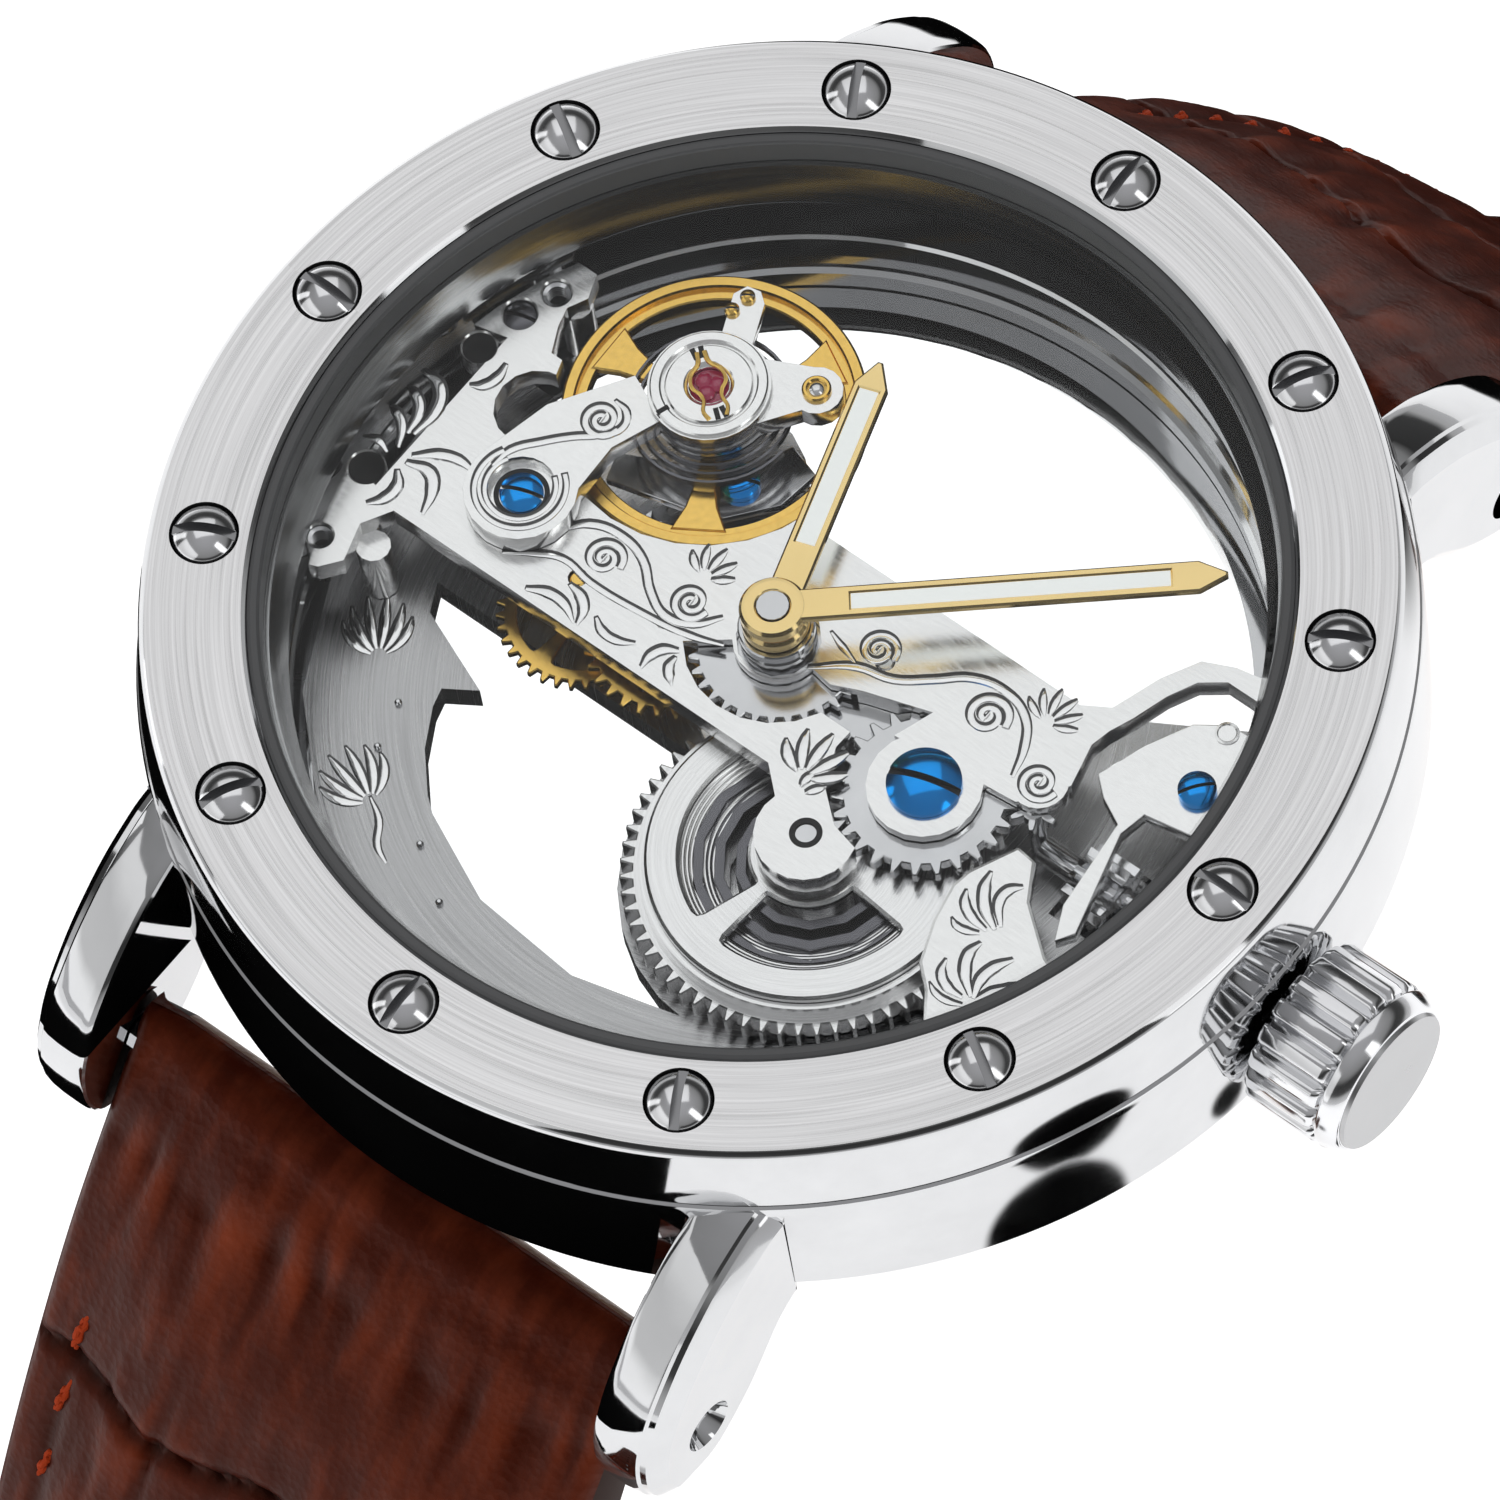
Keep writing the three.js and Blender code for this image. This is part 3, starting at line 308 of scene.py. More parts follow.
def texture_metal(made, coordinates, color, shade, roughness, spread, bump):
    """Colour, roughness and bump from one noise, for brushing, casting or handling marks."""
    grain = noise_of(made, coordinates, 6.0, 0.6)
    dark = [channel * (1 - shade) for channel in color]
    bright = [min(1, channel * (1 + shade * 0.6)) for channel in color]
    paint(made, grain, (0.3, dark), (0.7, bright))
    vary_roughness(made, grain, roughness - spread, roughness + spread, 0.25, 0.75)
    if bump:
        raise_grain(made, grain, bump, 0.00002)
    return made


def polished(name, color, roughness=0.07, shade=0.05, bump=0.0):
    made = look(name, color, 1.0, roughness)
    return texture_metal(made, object_coordinates(made, (300, 300, 300)), color, shade, roughness, 0.03, bump)


def brushed_round(name, color, centre, roughness=0.3, shade=0.2, across=14000, along=1.6, bump=0.35):
    made = look(name, color, 1.0, roughness, Anisotropic=0.45)
    coordinates = ring_coordinates(made, centre, across, along)
    return texture_metal(made, coordinates, color, shade, roughness, 0.08, bump)


def brushed_straight(name, color, stretch, roughness=0.25, shade=0.1, bump=0.2):
    made = look(name, color, 1.0, roughness)
    return texture_metal(made, object_coordinates(made, stretch), color, shade, roughness, 0.06, bump)


STEEL = (0.63, 0.635, 0.645)
SILVER = (0.95, 0.95, 0.945)
GOLD = (0.95, 0.62, 0.16)
PALE_GOLD = (0.95, 0.72, 0.33)

looks = {
    "case": polished("polished_case", STEEL, 0.06),
    "bezel": brushed_round("brushed_bezel_top", (0.83, 0.83, 0.835), (0, 0), 0.3, 0.32, 9000, 1.2, 0.6),
    "screw": polished("polished_screw", (0.78, 0.785, 0.8), 0.13),
    # steel for the crown's flat end: a rougher satin finish, with a darker colour that is painted shade
    "satin": polished("satin_steel_shaded", (0.46, 0.462, 0.47), 0.3),
    # steel for the faces of screw slots, darkened as painted shade
    "slot": polished("slot_shade_steel", (0.26, 0.262, 0.27), 0.25),
    "pocket": look("pocket_shadow", (0.015, 0.015, 0.016), 0.0, 0.6),
    "gasket": look("gasket_rubber", (0.12, 0.122, 0.125), 0.0, 0.5),
    "flange": brushed_round("grey_flange", (0.42, 0.425, 0.43), (0, 0), 0.2, 0.15),
    "plate": brushed_round("brushed_plate", (0.52, 0.52, 0.525), (0, 0), 0.24, 0.25, 11000, 2.0, 0.4),
    "bridge": brushed_straight("silvered_bridge", SILVER, (1500, 9000, 9000), 0.2, 0.06, 0.15),
    "cock": brushed_straight("silvered_cock", (0.96, 0.96, 0.955), (2500, 8000, 8000), 0.18, 0.05, 0.12),
    "engraving": polished("cut_silver", (0.95, 0.95, 0.95), 0.12),
    "shade": polished("cut_shadow", (0.09, 0.09, 0.092), 0.3),
    "blue": polished("blued_steel", (0.008, 0.34, 1.0), 0.12, 0.2),
    "gold": brushed_straight("gilt_brass", GOLD, (4000, 4000, 4000), 0.2, 0.1, 0.1),
    "hand": polished("pale_gold", PALE_GOLD, 0.14),
    "steel": polished("movement_steel", (0.7, 0.705, 0.72), 0.13, 0.1),
    "dark": polished("dark_spring_steel", (0.16, 0.16, 0.175), 0.25, 0.15),
    # painted shade: dark discs, rings and slot faces that stand for shadow in holes, gaps and slots
    "hole": look("painted_hole_shade", (0.01, 0.01, 0.011), 0.0, 0.6),
}
barrel_place = joint_place("barrel_turn")
looks["barrel"] = brushed_round("turned_barrel", (0.93, 0.93, 0.93), barrel_place, 0.2, 0.14, 12000, 1.5, 0.2)


def ruby_look():
    return look("ruby", (0.5, 0.01, 0.09), 0.0, 0.08, Coat_Weight=1.0, Coat_Roughness=0.03)


def lume_look():
    # the emission is a painted glow that keeps the paint near white under the studio light
    made = look("luminous_paint_painted_glow", (0.86, 0.87, 0.86), 0.0, 0.7, Emission_Strength=0.45)
    shader_of(made).inputs["Emission Color"].default_value = (0.95, 1, 0.98, 1)
    grain = noise_of(made, object_coordinates(made, (9000, 9000, 9000)), 3.0)
    paint(made, grain, (0.0, (0.68, 0.69, 0.68)), (1.0, (0.95, 0.95, 0.94)))
    raise_grain(made, grain, 0.3, 0.00002)
    return made


def crystal_look():
    """Clear glass that lets light straight through and mirrors a little, more at grazing angles."""
    made = look("clear_crystal", (1, 1, 1), 0.0, 0.0)
    nodes = made.node_tree.nodes
    nodes.remove(shader_of(made))
    clear = add_node(made, "ShaderNodeBsdfTransparent", [(0, (0.985, 0.99, 0.99, 1))])
    gloss = add_node(made, "ShaderNodeBsdfGlossy", [("Roughness", 0.02)])
    edge = add_node(made, "ShaderNodeFresnel", [("IOR", 1.4)]).outputs[0]
    inside = add_node(made, "ShaderNodeNewGeometry").outputs["Backfacing"]
    outside = calculated(made, "SUBTRACT", 1.0, inside)
    share = calculated(made, "MULTIPLY", edge, outside)
    mix = add_node(made, "ShaderNodeMixShader", [(0, share), (1, clear.outputs[0]), (2, gloss.outputs[0])])
    output = nodes["Material Output"]
    made.node_tree.links.new(mix.outputs[0], output.inputs["Surface"])
    return made


def leather_look(name, deep, plain, worn_and_highlit):
    """Glossy leather with fine pores and streaks: painted shade in its creases, wear and painted highlight on its
    ridges.
    """
    made = look(name, plain, 0.0, 0.35, Specular_IOR_Level=0.15)
    shader_of(made).inputs["Specular Tint"].default_value = (1, 0.55, 0.42, 1)
    wear_shade_and_sheen = add_node(made, "ShaderNodeAttribute", attribute_name="relief").outputs["Fac"]
    cloud = noise_of(made, object_coordinates(made, (480, 480, 480)), 5.0, 0.6)
    streak = noise_of(made, object_coordinates(made, (1300, 300, 300)), 4.0)
    spread = calculated(made, "MULTIPLY", cloud, streak)
    mixed = calculated(made, "MULTIPLY_ADD", spread, 0.8, wear_shade_and_sheen)
    # the ramp runs from painted shade in the creases, through the plain colour, to ridges paled by wear and
    # painted highlight
    paint(made, mixed, (0.1, deep), (0.5, plain), (1.0, worn_and_highlit))
    pore_places = object_coordinates(made, (3200, 3200, 3200))
    pores = add_node(made, "ShaderNodeTexVoronoi", [("Vector", pore_places), ("Scale", 1.0)])
    fine = noise_of(made, object_coordinates(made, (2600, 2600, 2600)), 5.0)
    raise_grain(made, calculated(made, "ADD", pores.outputs["Distance"], fine), 0.35, 0.00005)
    vary_roughness(made, cloud, 0.24, 0.5)
    return made


looks["ruby"] = ruby_look()
looks["lume"] = lume_look()
looks["crystal"] = crystal_look()
looks["leather"] = leather_look("crocodile_leather", (0.018, 0.0028, 0.0014), (0.064, 0.0084, 0.0027),
                                (0.24, 0.04, 0.0125))
looks["lining"] = leather_look("lining_leather", (0.09, 0.045, 0.025), (0.17, 0.09, 0.05), (0.25, 0.15, 0.09))
looks["edge"] = look("painted_edge", (0.03, 0.012, 0.008), 0.0, 0.55, Specular_IOR_Level=0.12)
looks["thread"] = look("orange_thread", (0.42, 0.045, 0.009), 0.0, 0.8, Specular_IOR_Level=0.1)


# ---------------------------------------------------------------- mesh kit, in millimetres

def circle(centre, radius, sides=48, start=0.0):
    return [(centre[0] + radius * math.cos(start + 2 * math.pi * i / sides),
             centre[1] + radius * math.sin(start + 2 * math.pi * i / sides)) for i in range(sides)]


def arc(centre, radius, first, last, steps):
    """Points on an arc between two angles in degrees."""
    angles = [math.radians(first + (last - first) * i / steps) for i in range(steps + 1)]
    return [(centre[0] + radius * math.cos(angle), centre[1] + radius * math.sin(angle)) for angle in angles]


def rounded(points, radius, steps=3):
    """A closed outline with each corner turned into a short curve."""
    result = []
    for i, point in enumerate(points):
        corner = Vector(point)
        before = Vector(points[i - 1]) - corner
        after = Vector(points[(i + 1) % len(points)]) - corner
        cut = min(radius, before.length * 0.45, after.length * 0.45)
        start = corner + before.normalized() * cut
        end = corner + after.normalized() * cut
        for k in range(steps + 1):
            t = k / steps
            result.append(tuple(start * (1 - t) ** 2 + corner * (2 * t * (1 - t)) + end * t ** 2))
    return result


def spun(points, turn, centre=(0, 0)):
    """Points turned about the origin by an angle and moved to a centre."""
    spin = Matrix.Rotation(turn, 2)
    return [tuple(spin @ Vector(point) + Vector(centre)) for point in points]


def box_points(left, right, low, high):
    """The corners of a rectangle, anticlockwise."""
    return [(left, low), (right, low), (right, high), (left, high)]


def oriented(loop, anticlockwise):
    area = sum(a[0] * b[1] - b[0] * a[1] for a, b in zip(loop, loop[1:] + loop[:1]))
    return loop if (area > 0) == anticlockwise else loop[::-1]


def inset(loop, amount):
    """The loop moved to its left by an amount, for a chamfer."""
    moved = []
    for i, point in enumerate(loop):
        here = Vector(point)
        first = (here - Vector(loop[i - 1])).normalized()
        second = (Vector(loop[(i + 1) % len(loop)]) - here).normalized()
        left = Vector((-first.y - second.y, first.x + second.x))
        scale = amount / max(0.35, left.length_squared / 2)
        moved.append(tuple(here + left * scale))
    return moved


def stack(outline, layers, holes=()):
    """A solid of one outline at several heights: each layer is (height, how far its rim is inset)."""
    loops = [oriented(list(outline), True)] + [oriented(list(hole), False) for hole in holes]
    body = bmesh.new()
    rings = []
    for height, amount in layers:
        moved = [inset(loop, amount) if amount else loop for loop in loops]
        rings.append([[body.verts.new((x, y, height)) for x, y in loop] for loop in moved])
    for lower, upper in zip(rings, rings[1:]):
        for lower_loop, upper_loop in zip(lower, upper):
            for i in range(len(lower_loop)):
                j = (i + 1) % len(lower_loop)
                body.faces.new((lower_loop[i], lower_loop[j], upper_loop[j], upper_loop[i]))
    for ring in (rings[0], rings[-1]):
        flat = [vertex for loop in ring for vertex in loop]
        for triangle in tessellate_polygon([[vertex.co for vertex in loop] for loop in ring]):
            corners = [flat[i] for i in triangle]
            if len(set(corners)) == 3 and body.faces.get(corners) is None:
                body.faces.new(corners)
    bmesh.ops.recalc_face_normals(body, faces=body.faces)
    return body


def prism(outline, low, high, holes=(), edge=0.0, lower_edge=0.0):
    """A flat solid between two heights, with chamfered rims and holes."""
    layers = [(low, lower_edge), (low + lower_edge, 0.0), (high - edge, 0.0), (high, edge)]
    return stack(outline, list(dict.fromkeys(layers)), holes)


def lathe(profile, sides=96, centre=(0, 0)):
    """A closed profile of (radius, height) turned about +Z; points on the axis become one vertex."""
    body = bmesh.new()
    rings = []
    for radius, height in profile:
        if radius < 1e-6:
            rings.append([body.verts.new((centre[0], centre[1], height))])
        else:
            rings.append([body.verts.new((x, y, height)) for x, y in circle(centre, radius, sides)])
    for lower, upper in zip(rings, rings[1:] + rings[:1]):
        for i in range(sides):
            j = (i + 1) % sides
            corners = [lower[i % len(lower)], lower[j % len(lower)], upper[j % len(upper)],
                       upper[i % len(upper)]]
            corners = list(dict.fromkeys(corners))
            if len(corners) > 2:
                body.faces.new(corners)
    bmesh.ops.recalc_face_normals(body, faces=body.faces)
    return body


def disc(centre, radius, low, high, sides=48):
    return lathe([(0, low), (radius, low), (radius, high), (0, high)], sides, centre)


def washer(centre, inner, outer, low, high, edge=0.0, sides=64):
    """A flat ring; its upper rims are chamfered by an edge."""
    profile = [(inner, low), (outer, low), (outer, high - edge)]
    if edge:
        profile += [(outer - edge, high), (inner + edge, high)]
    return lathe(profile + [(inner, high - edge)], sides, centre)


def skin(body, rings):
    """Faces between neighbouring rings of vertices; a list of the rows of faces."""
    rows = []
    for first, second in zip(rings, rings[1:]):
        row = []
        for i in range(len(first)):
            j = (i + 1) % len(first)
            row.append(body.faces.new((first[i], first[j], second[j], second[i])))
        rows.append(row)
    return rows


def along_x(body, height=0.0):
    """Lays a body made about +Z along +X, at a height."""
    for vertex in body.verts:
        x, y, z = vertex.co
        vertex.co = (z, x, y + height)
    return body


def join(*bodies):
    whole = bmesh.new()
    for body in bodies:
        mesh = bpy.data.meshes.new("part")
        body.to_mesh(mesh)
        whole.from_mesh(mesh)
        bpy.data.meshes.remove(mesh)
        body.free()
    return whole


def boolean(body, other, operation="DIFFERENCE"):
    """One solid cut by another or joined to it."""
    holders = []
    for shape in (body, other):
        mesh = bpy.data.meshes.new("solid")
        shape.to_mesh(mesh)
        shape.free()
        holder = bpy.data.objects.new("solid", mesh)
        bpy.context.collection.objects.link(holder)
        holders.append(holder)
    cutter = holders[0].modifiers.new("cut", "BOOLEAN")
    cutter.operation = operation
    cutter.object = holders[1]
    cutter.solver = "MANIFOLD"
    result = bmesh.new()
    result.from_object(holders[0], bpy.context.evaluated_depsgraph_get())
    for holder in holders:
        mesh = holder.data
        bpy.data.objects.remove(holder)
        bpy.data.meshes.remove(mesh)
    return result


def place(body, name, material, rides_on, replaced=(), sharp=32):
    """Turns a body in millimetres into a finished piece in metres."""
    body.normal_update()
    for face in body.faces:
        face.smooth = abs(face.normal.z) < 0.9995
    for vertex in body.verts:
        vertex.co *= MM
    for edge in body.edges:
        edge.smooth = len(edge.link_faces) == 2 and edge.calc_face_angle(0) < math.radians(sharp)
    mesh = bpy.data.meshes.new(name)
    body.to_mesh(mesh)
    body.free()
    piece = bpy.data.objects.new(name, mesh)
    bpy.context.collection.objects.link(piece)
    materials = material if isinstance(material, (list, tuple)) else [material]
    for one in materials:
        mesh.materials.append(one)
    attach(piece, rides_on)
    if replaced:
        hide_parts(*replaced)
    return piece


def body_of(node):
    """The CAD body that a node belongs to."""
    bodies = frame["record"]["behaviour"]["bodies"]
    return next(body for body, members in bodies.items() if node in members)


def stand_in(body, node, material, sharp=32):
    """A finer piece in the place of one CAD node."""
    return place(body, node + "_fine", material, body_of(node), [node], sharp)


def cad_body(node):
    """A CAD node's own shape, in millimetres."""
    body = bmesh.new()
    body.from_mesh(frame["nodes"][node].data)
    for vertex in body.verts:
        vertex.co /= MM
    bmesh.ops.remove_doubles(body, verts=body.verts, dist=0.0005)
    return body


def bevelled(body, bevel, corner):
    """The body with its flat faces merged and its sharp edges bevelled."""
    bmesh.ops.remove_doubles(body, verts=body.verts, dist=0.0005)
    bmesh.ops.dissolve_limit(body, angle_limit=math.radians(0.8), verts=body.verts, edges=body.edges)
    rims = [edge for edge in body.edges
            if len(edge.link_faces) == 2 and edge.calc_face_angle(0) > math.radians(corner)]
    bmesh.ops.bevel(body, geom=rims, offset=bevel, offset_type="OFFSET", segments=2, profile=0.6,
                    affect="EDGES", clamp_overlap=True)
    return body


def refined(node, material, bevel, sharp=32, corner=38):
    """The CAD node's own shape with its sharp edges bevelled."""
    return stand_in(bevelled(cad_body(node), bevel, corner), node, material, sharp)


def curve_body(holder):
    """The swept shape of a curve object, in millimetres; the curve itself is removed."""
    drawn = holder.evaluated_get(bpy.context.evaluated_depsgraph_get())
    mesh = bpy.data.meshes.new_from_object(drawn)
    body = bmesh.new()
    body.from_mesh(mesh)
    bpy.data.meshes.remove(mesh)
    curve = holder.data
    bpy.data.objects.remove(holder)
    bpy.data.curves.remove(curve)
    for vertex in body.verts:
        vertex.co /= MM
    return body


def swept(name, lines, detail=2, steps=5):
    """Round strokes through points (x, y, z, half width), in millimetres, as one body."""
    data = bpy.data.curves.new(name, "CURVE")
    data.dimensions = "3D"
    data.bevel_depth = MM
    data.bevel_resolution = detail
    data.resolution_u = steps
    data.use_fill_caps = True
    for line in lines:
        spline = data.splines.new("BEZIER")
        spline.bezier_points.add(len(line) - 1)
        for point, (x, y, z, width) in zip(spline.bezier_points, line):
            point.co = (x * MM, y * MM, z * MM)
            point.radius = width
            point.handle_left_type = "AUTO"
            point.handle_right_type = "AUTO"
    holder = bpy.data.objects.new(name, data)
    bpy.context.collection.objects.link(holder)
    return curve_body(holder)


def strokes(name, lines, height, flatten, material, rides_on, sink=0.0):
    """Raised lines on a flat surface: each line is a list of (x, y, half width) in millimetres."""
    body = swept(name, [[(x, y, 0, width) for x, y, width in line] for line in lines])
    for vertex in body.verts:
        vertex.co.z = height - sink + vertex.co.z * flatten
    return place(body, name, material, rides_on)


# ---------------------------------------------------------------- case

# heights of the bezel's face, its seam with the case and the bridge's top; places of the spring bars, the
# stem and the bezel screws; radius of a thin pivot
FACE = 10.3
SEAM = 7.3
BAR_Y = 21.6
BAR_Z = -0.6
STEM_Z = 4.0
SCREW_CIRCLE = 19.05
SCREW_SPOTS = circle((0, 0), SCREW_CIRCLE, 12)
BRIDGE_TOP = 6.7
PIVOT = 0.28
COCK_SCREW = (-10.2, -1.0)
HEAD = "head"


def lug(side, outward):
    """One lug: a curved horn, its top slightly crowned, with a bevel in two steps on its outer side."""
    corners = [(15.8, 7.25), (17.4, 7.2), (19.7, 6.15), (21.9, 4.35), (23.6, 2.3), (24.5, 0.5), (24.65, -1.4),
               (24.1, -3.1), (21.3, -3.45), (18.9, -1.8), (17, 0.4), (15.8, 0.9)]
    outline = [(side * y, z) for y, z in rounded(corners, 1.1, 4)]
    layers = [(11, 0.2), (11.06, 0.1), (11.2, 0.03), (11.5, 0.0), (12.1, 0.0), (12.6, 0.04), (12.85, 0.1),
              (12.95, 0.2), (13.15, 0.26), (13.25, 0.38), (13.6, 0.9)]
    if outward < 0:
        layers = [(-x, amount) for x, amount in reversed(layers)]
    return along_x(stack(outline, layers))


def make_case():
    body = lathe([(16.5, 1.7), (19.4, 1.7), (19.4, 0.2), (19.7, 0.2), (21.3, 1.7), (21.47, 1.95),
                  (21.47, 6.85), (21.4, 7.2), (21.2, 7.28), (17.35, 7.3), (16.9, 7.3), (16.5, 7.0),
                  (16.5, 5.7), (16.62, 5.6), (16.62, 4.6), (16.5, 4.5), (16.5, 2.6), (16.3, 2.5),
                  (16.3, 1.7)], 192)
    for side in (-1, 1):
        for outward in (-1, 1):
            body = boolean(body, lug(side, outward), "UNION")
    for side in (-1, 1):
        for outward in (-1, 1):
            hole = lathe([(0, 10), (0.5, 10), (0.5, 12.6), (1.0, 13.62), (1.0, 14.5), (0, 14.5)], 32)
            for vertex in hole.verts:
                x, y, z = vertex.co
                vertex.co = (outward * z, side * BAR_Y + x, BAR_Z + y)
            bmesh.ops.recalc_face_normals(hole, faces=hole.faces)
            body = boolean(body, hole)
    tube = along_x(disc((0, 0), 1.36, 15, 23, 32), STEM_Z)
    return stand_in(boolean(body, tube), "case_middle", looks["case"], 28)


def make_bezel():
    body = lathe([(17.4, SEAM + 0.02), (21.25, SEAM + 0.02), (21.34, SEAM + 0.12), (21.02, FACE - 0.32),
                  (20.95, FACE - 0.15), (20.78, FACE), (17.55, FACE), (17.4, FACE - 0.15)], 256)
    body = boolean(body, join(*[disc(spot, 1.18, 9.45, 11) for spot in SCREW_SPOTS]))
    for face in body.faces:
        centre = face.calc_center_median()
        in_pocket = abs(centre.xy.length - SCREW_CIRCLE) < 1.2 and centre.z > 9.4
        if centre.z > FACE - 0.1 and face.normal.z > 0.9:
            face.material_index = 0
        else:
            face.material_index = 2 if in_pocket else 1
    return stand_in(body, "bezel", [looks["bezel"], looks["case"], looks["pocket"]], 30)


def slotted_head(centre, radius, low, high, crown, slot_angle, slot_width, slot_depth, steps=8):
    """A screw head with a domed top and a straight slot; the slot's faces take the second material, which every
    caller gives as painted shade.
    """
    ball = (radius ** 2 + crown ** 2) / (2 * crown)
    profile = [(0, low), (radius, low), (radius, high - crown)]
    for i in range(1, steps + 1):
        reach = radius * (1 - i / steps)
        profile.append((reach, high - ball + math.sqrt(ball ** 2 - reach ** 2)))
    head = lathe(profile, 48, centre)
    long = radius * 1.5
    half = slot_width / 2
    outline = spun(box_points(-long, long, -half, half), slot_angle, centre)
    head = boolean(head, prism(outline, high - slot_depth, high + 1))
    across = Matrix.Rotation(slot_angle, 2) @ Vector((0, 1))
    for face in head.faces:
        offset = abs((face.calc_center_median().xy - Vector(centre)) @ across)
        on_floor = face.normal.z > 0.99 and offset < half * 0.9
        on_wall = abs(face.normal.xy @ across) > 0.9 and abs(offset - half) < 0.01
        face.material_index = 1 if on_floor or on_wall else 0
    return head


def make_bezel_screws():
    """The first spot is at 3 o'clock and the spots run anticlockwise; the nodes are numbered as hours."""
    for i, spot in enumerate(SCREW_SPOTS):
        hour = (14 - i) % 12 + 1
        head = slotted_head(spot, 1.12, 9.5, 10.74, 0.5, 2 * math.pi * i / 12, 0.34, 0.46)
        stand_in(head, f"bezel_screw_{hour:02d}", [looks["screw"], looks["slot"]], 50)


def make_rings_and_crystals():
    stand_in(lathe([(0, 9.1), (16.9, 9.1), (16.93, 10.35), (16.75, 10.58), (16.6, 10.6), (0, 10.6)], 192),
             "crystal", looks["crystal"])
    stand_in(disc((0, 0), 15.4, 0, 1.4, 128), "rear_crystal", looks["crystal"])
    gasket = [(16.95, 9.1), (17.38, 9.1), (17.38, 10.12), (17.25, 10.2), (17.05, 10.2), (16.95, 10.12)]
    stand_in(lathe(gasket, 192), "crystal_gasket", looks["gasket"])
    flange = [(16.3, 7.36), (17.36, 7.36), (17.36, 9.05), (16.75, 9.05), (16.6, 8.5), (16.3, 7.5)]
    stand_in(lathe(flange, 192), "flange_ring", looks["flange"])
    back = lathe([(15.5, 0.02), (15.6, 0), (19.15, 0), (19.3, 0.12), (19.3, 1.6), (15.5, 1.6)], 192)
    notch = box_points(18.1, 19.8, -1.1, 1.1)
    notches = [prism(spun(notch, 2 * math.pi * i / 6), -0.5, 0.55) for i in range(6)]
    stand_in(boolean(back, join(*notches)), "case_back", looks["case"])


def make_crown():
    """Rounded flutes, a toothed back edge, a plain chamfered collar and a flat end."""
    flutes = 18
    around = flutes * 14
    stations = [(21.66, 2.5, 0.0), (21.68, 2.8, 0.3), (21.8, 3.0, 0.4), (21.98, 3.08, 0.4), (24.3, 3.08, 0.4),
                (24.5, 3.01, 0.36)]
    collar = ((24.62, 2.78), (24.66, 2.86), (24.7, 3.0), (24.8, 3.03), (25.42, 2.76), (25.46, 2.7),
              (25.46, 2.62), (25.6, 2.56))
    stations += [(x, radius, 0.0) for x, radius in collar]
    body = bmesh.new()
    rings = []
    for x, radius, depth in stations:
        ring = []
        for i in range(around):
            turn = 2 * math.pi * i / around
            groove = abs(math.cos(turn * flutes / 2)) ** 9
            reach = radius - depth * groove
            ring.append(body.verts.new((x, reach * math.cos(turn), STEM_Z + reach * math.sin(turn))))
        rings.append(ring)
    body.faces.new(rings[-1])
    inner = [body.verts.new((stations[0][0], y, z)) for y, z in circle((0, STEM_Z), 1.7, around)]
    deep = [body.verts.new((23.6, vertex.co.y, vertex.co.z)) for vertex in inner]
    body.faces.new(deep)
    skin(body, [deep, inner] + rings)
    bmesh.ops.recalc_face_normals(body, faces=body.faces)
    for face in body.faces:
        # the flat end takes the darker satin steel: painted shade in its colour
        face.material_index = 1 if face.calc_center_median().x > 25.5 else 0
    return stand_in(body, "crown", [looks["screw"], looks["satin"]], 45)


make_case()
make_bezel()
make_bezel_screws()
make_rings_and_crystals()
make_crown()
for name in ("crown_tube", "spring_bar_12", "spring_bar_6", "winding_stem", "winding_pinion"):
    refined(name, looks["screw"], 0.05)
refined("crown_gasket", looks["gasket"], 0.03)


# ---------------------------------------------------------------- movement: plates

END_HOLES = (((-15.15, 2.7), 0.58), ((-14.85, 4.5), 0.58), ((-14.35, 5.85), 0.5), ((-15.3, -3.1), 0.62),
             ((-14.9, -6.05), 0.45))


def make_bridge():
    """The CAD bridge, with its end block's holes closed while its rims are bevelled, then cut clean."""
    low = 5.8
    top = BRIDGE_TOP
    plugs = [prism(circle(spot, radius + 0.06, 24), low, top) for spot, radius in END_HOLES]
    body = bevelled(boolean(cad_body("main_bridge"), join(*plugs), "UNION"), 0.12, 38)
    cuts = [lathe([(0, 5), (radius, 5), (radius, top - 0.06), (radius + 0.1, top + 0.04), (radius + 0.1, 7.5),
                   (0, 7.5)], 40, spot) for spot, radius in END_HOLES]
    stand_in(boolean(body, join(*cuts)), "main_bridge", looks["bridge"])
    # dark discs of painted shade below the end block's holes
    hole_shade_discs = [disc(spot, radius + 0.05, low - 0.1, low - 0.01, 24) for spot, radius in END_HOLES]
    place(join(*hole_shade_discs), "end_block_hole_shade", looks["hole"], HEAD)


refined("main_plate", looks["plate"], 0.1)
make_bridge()
refined("balance_cock", looks["cock"], 0.14)
refined("pallet_bridge", looks["steel"], 0.06)
refined("keyless_cover", looks["cock"], 0.1)
refined("side_plate", looks["bridge"], 0.12)


# ---------------------------------------------------------------- movement: wheels

def tooth_phase(node, centre):
    """The angle of one tooth tip of a CAD wheel."""
    corners = frame["nodes"][node].data.vertices
    tips = [Vector((corner.co.x / MM - centre[0], corner.co.y / MM - centre[1])) for corner in corners]
    tip = max(tips, key=lambda point: point.length)
    return math.atan2(tip.y, tip.x)


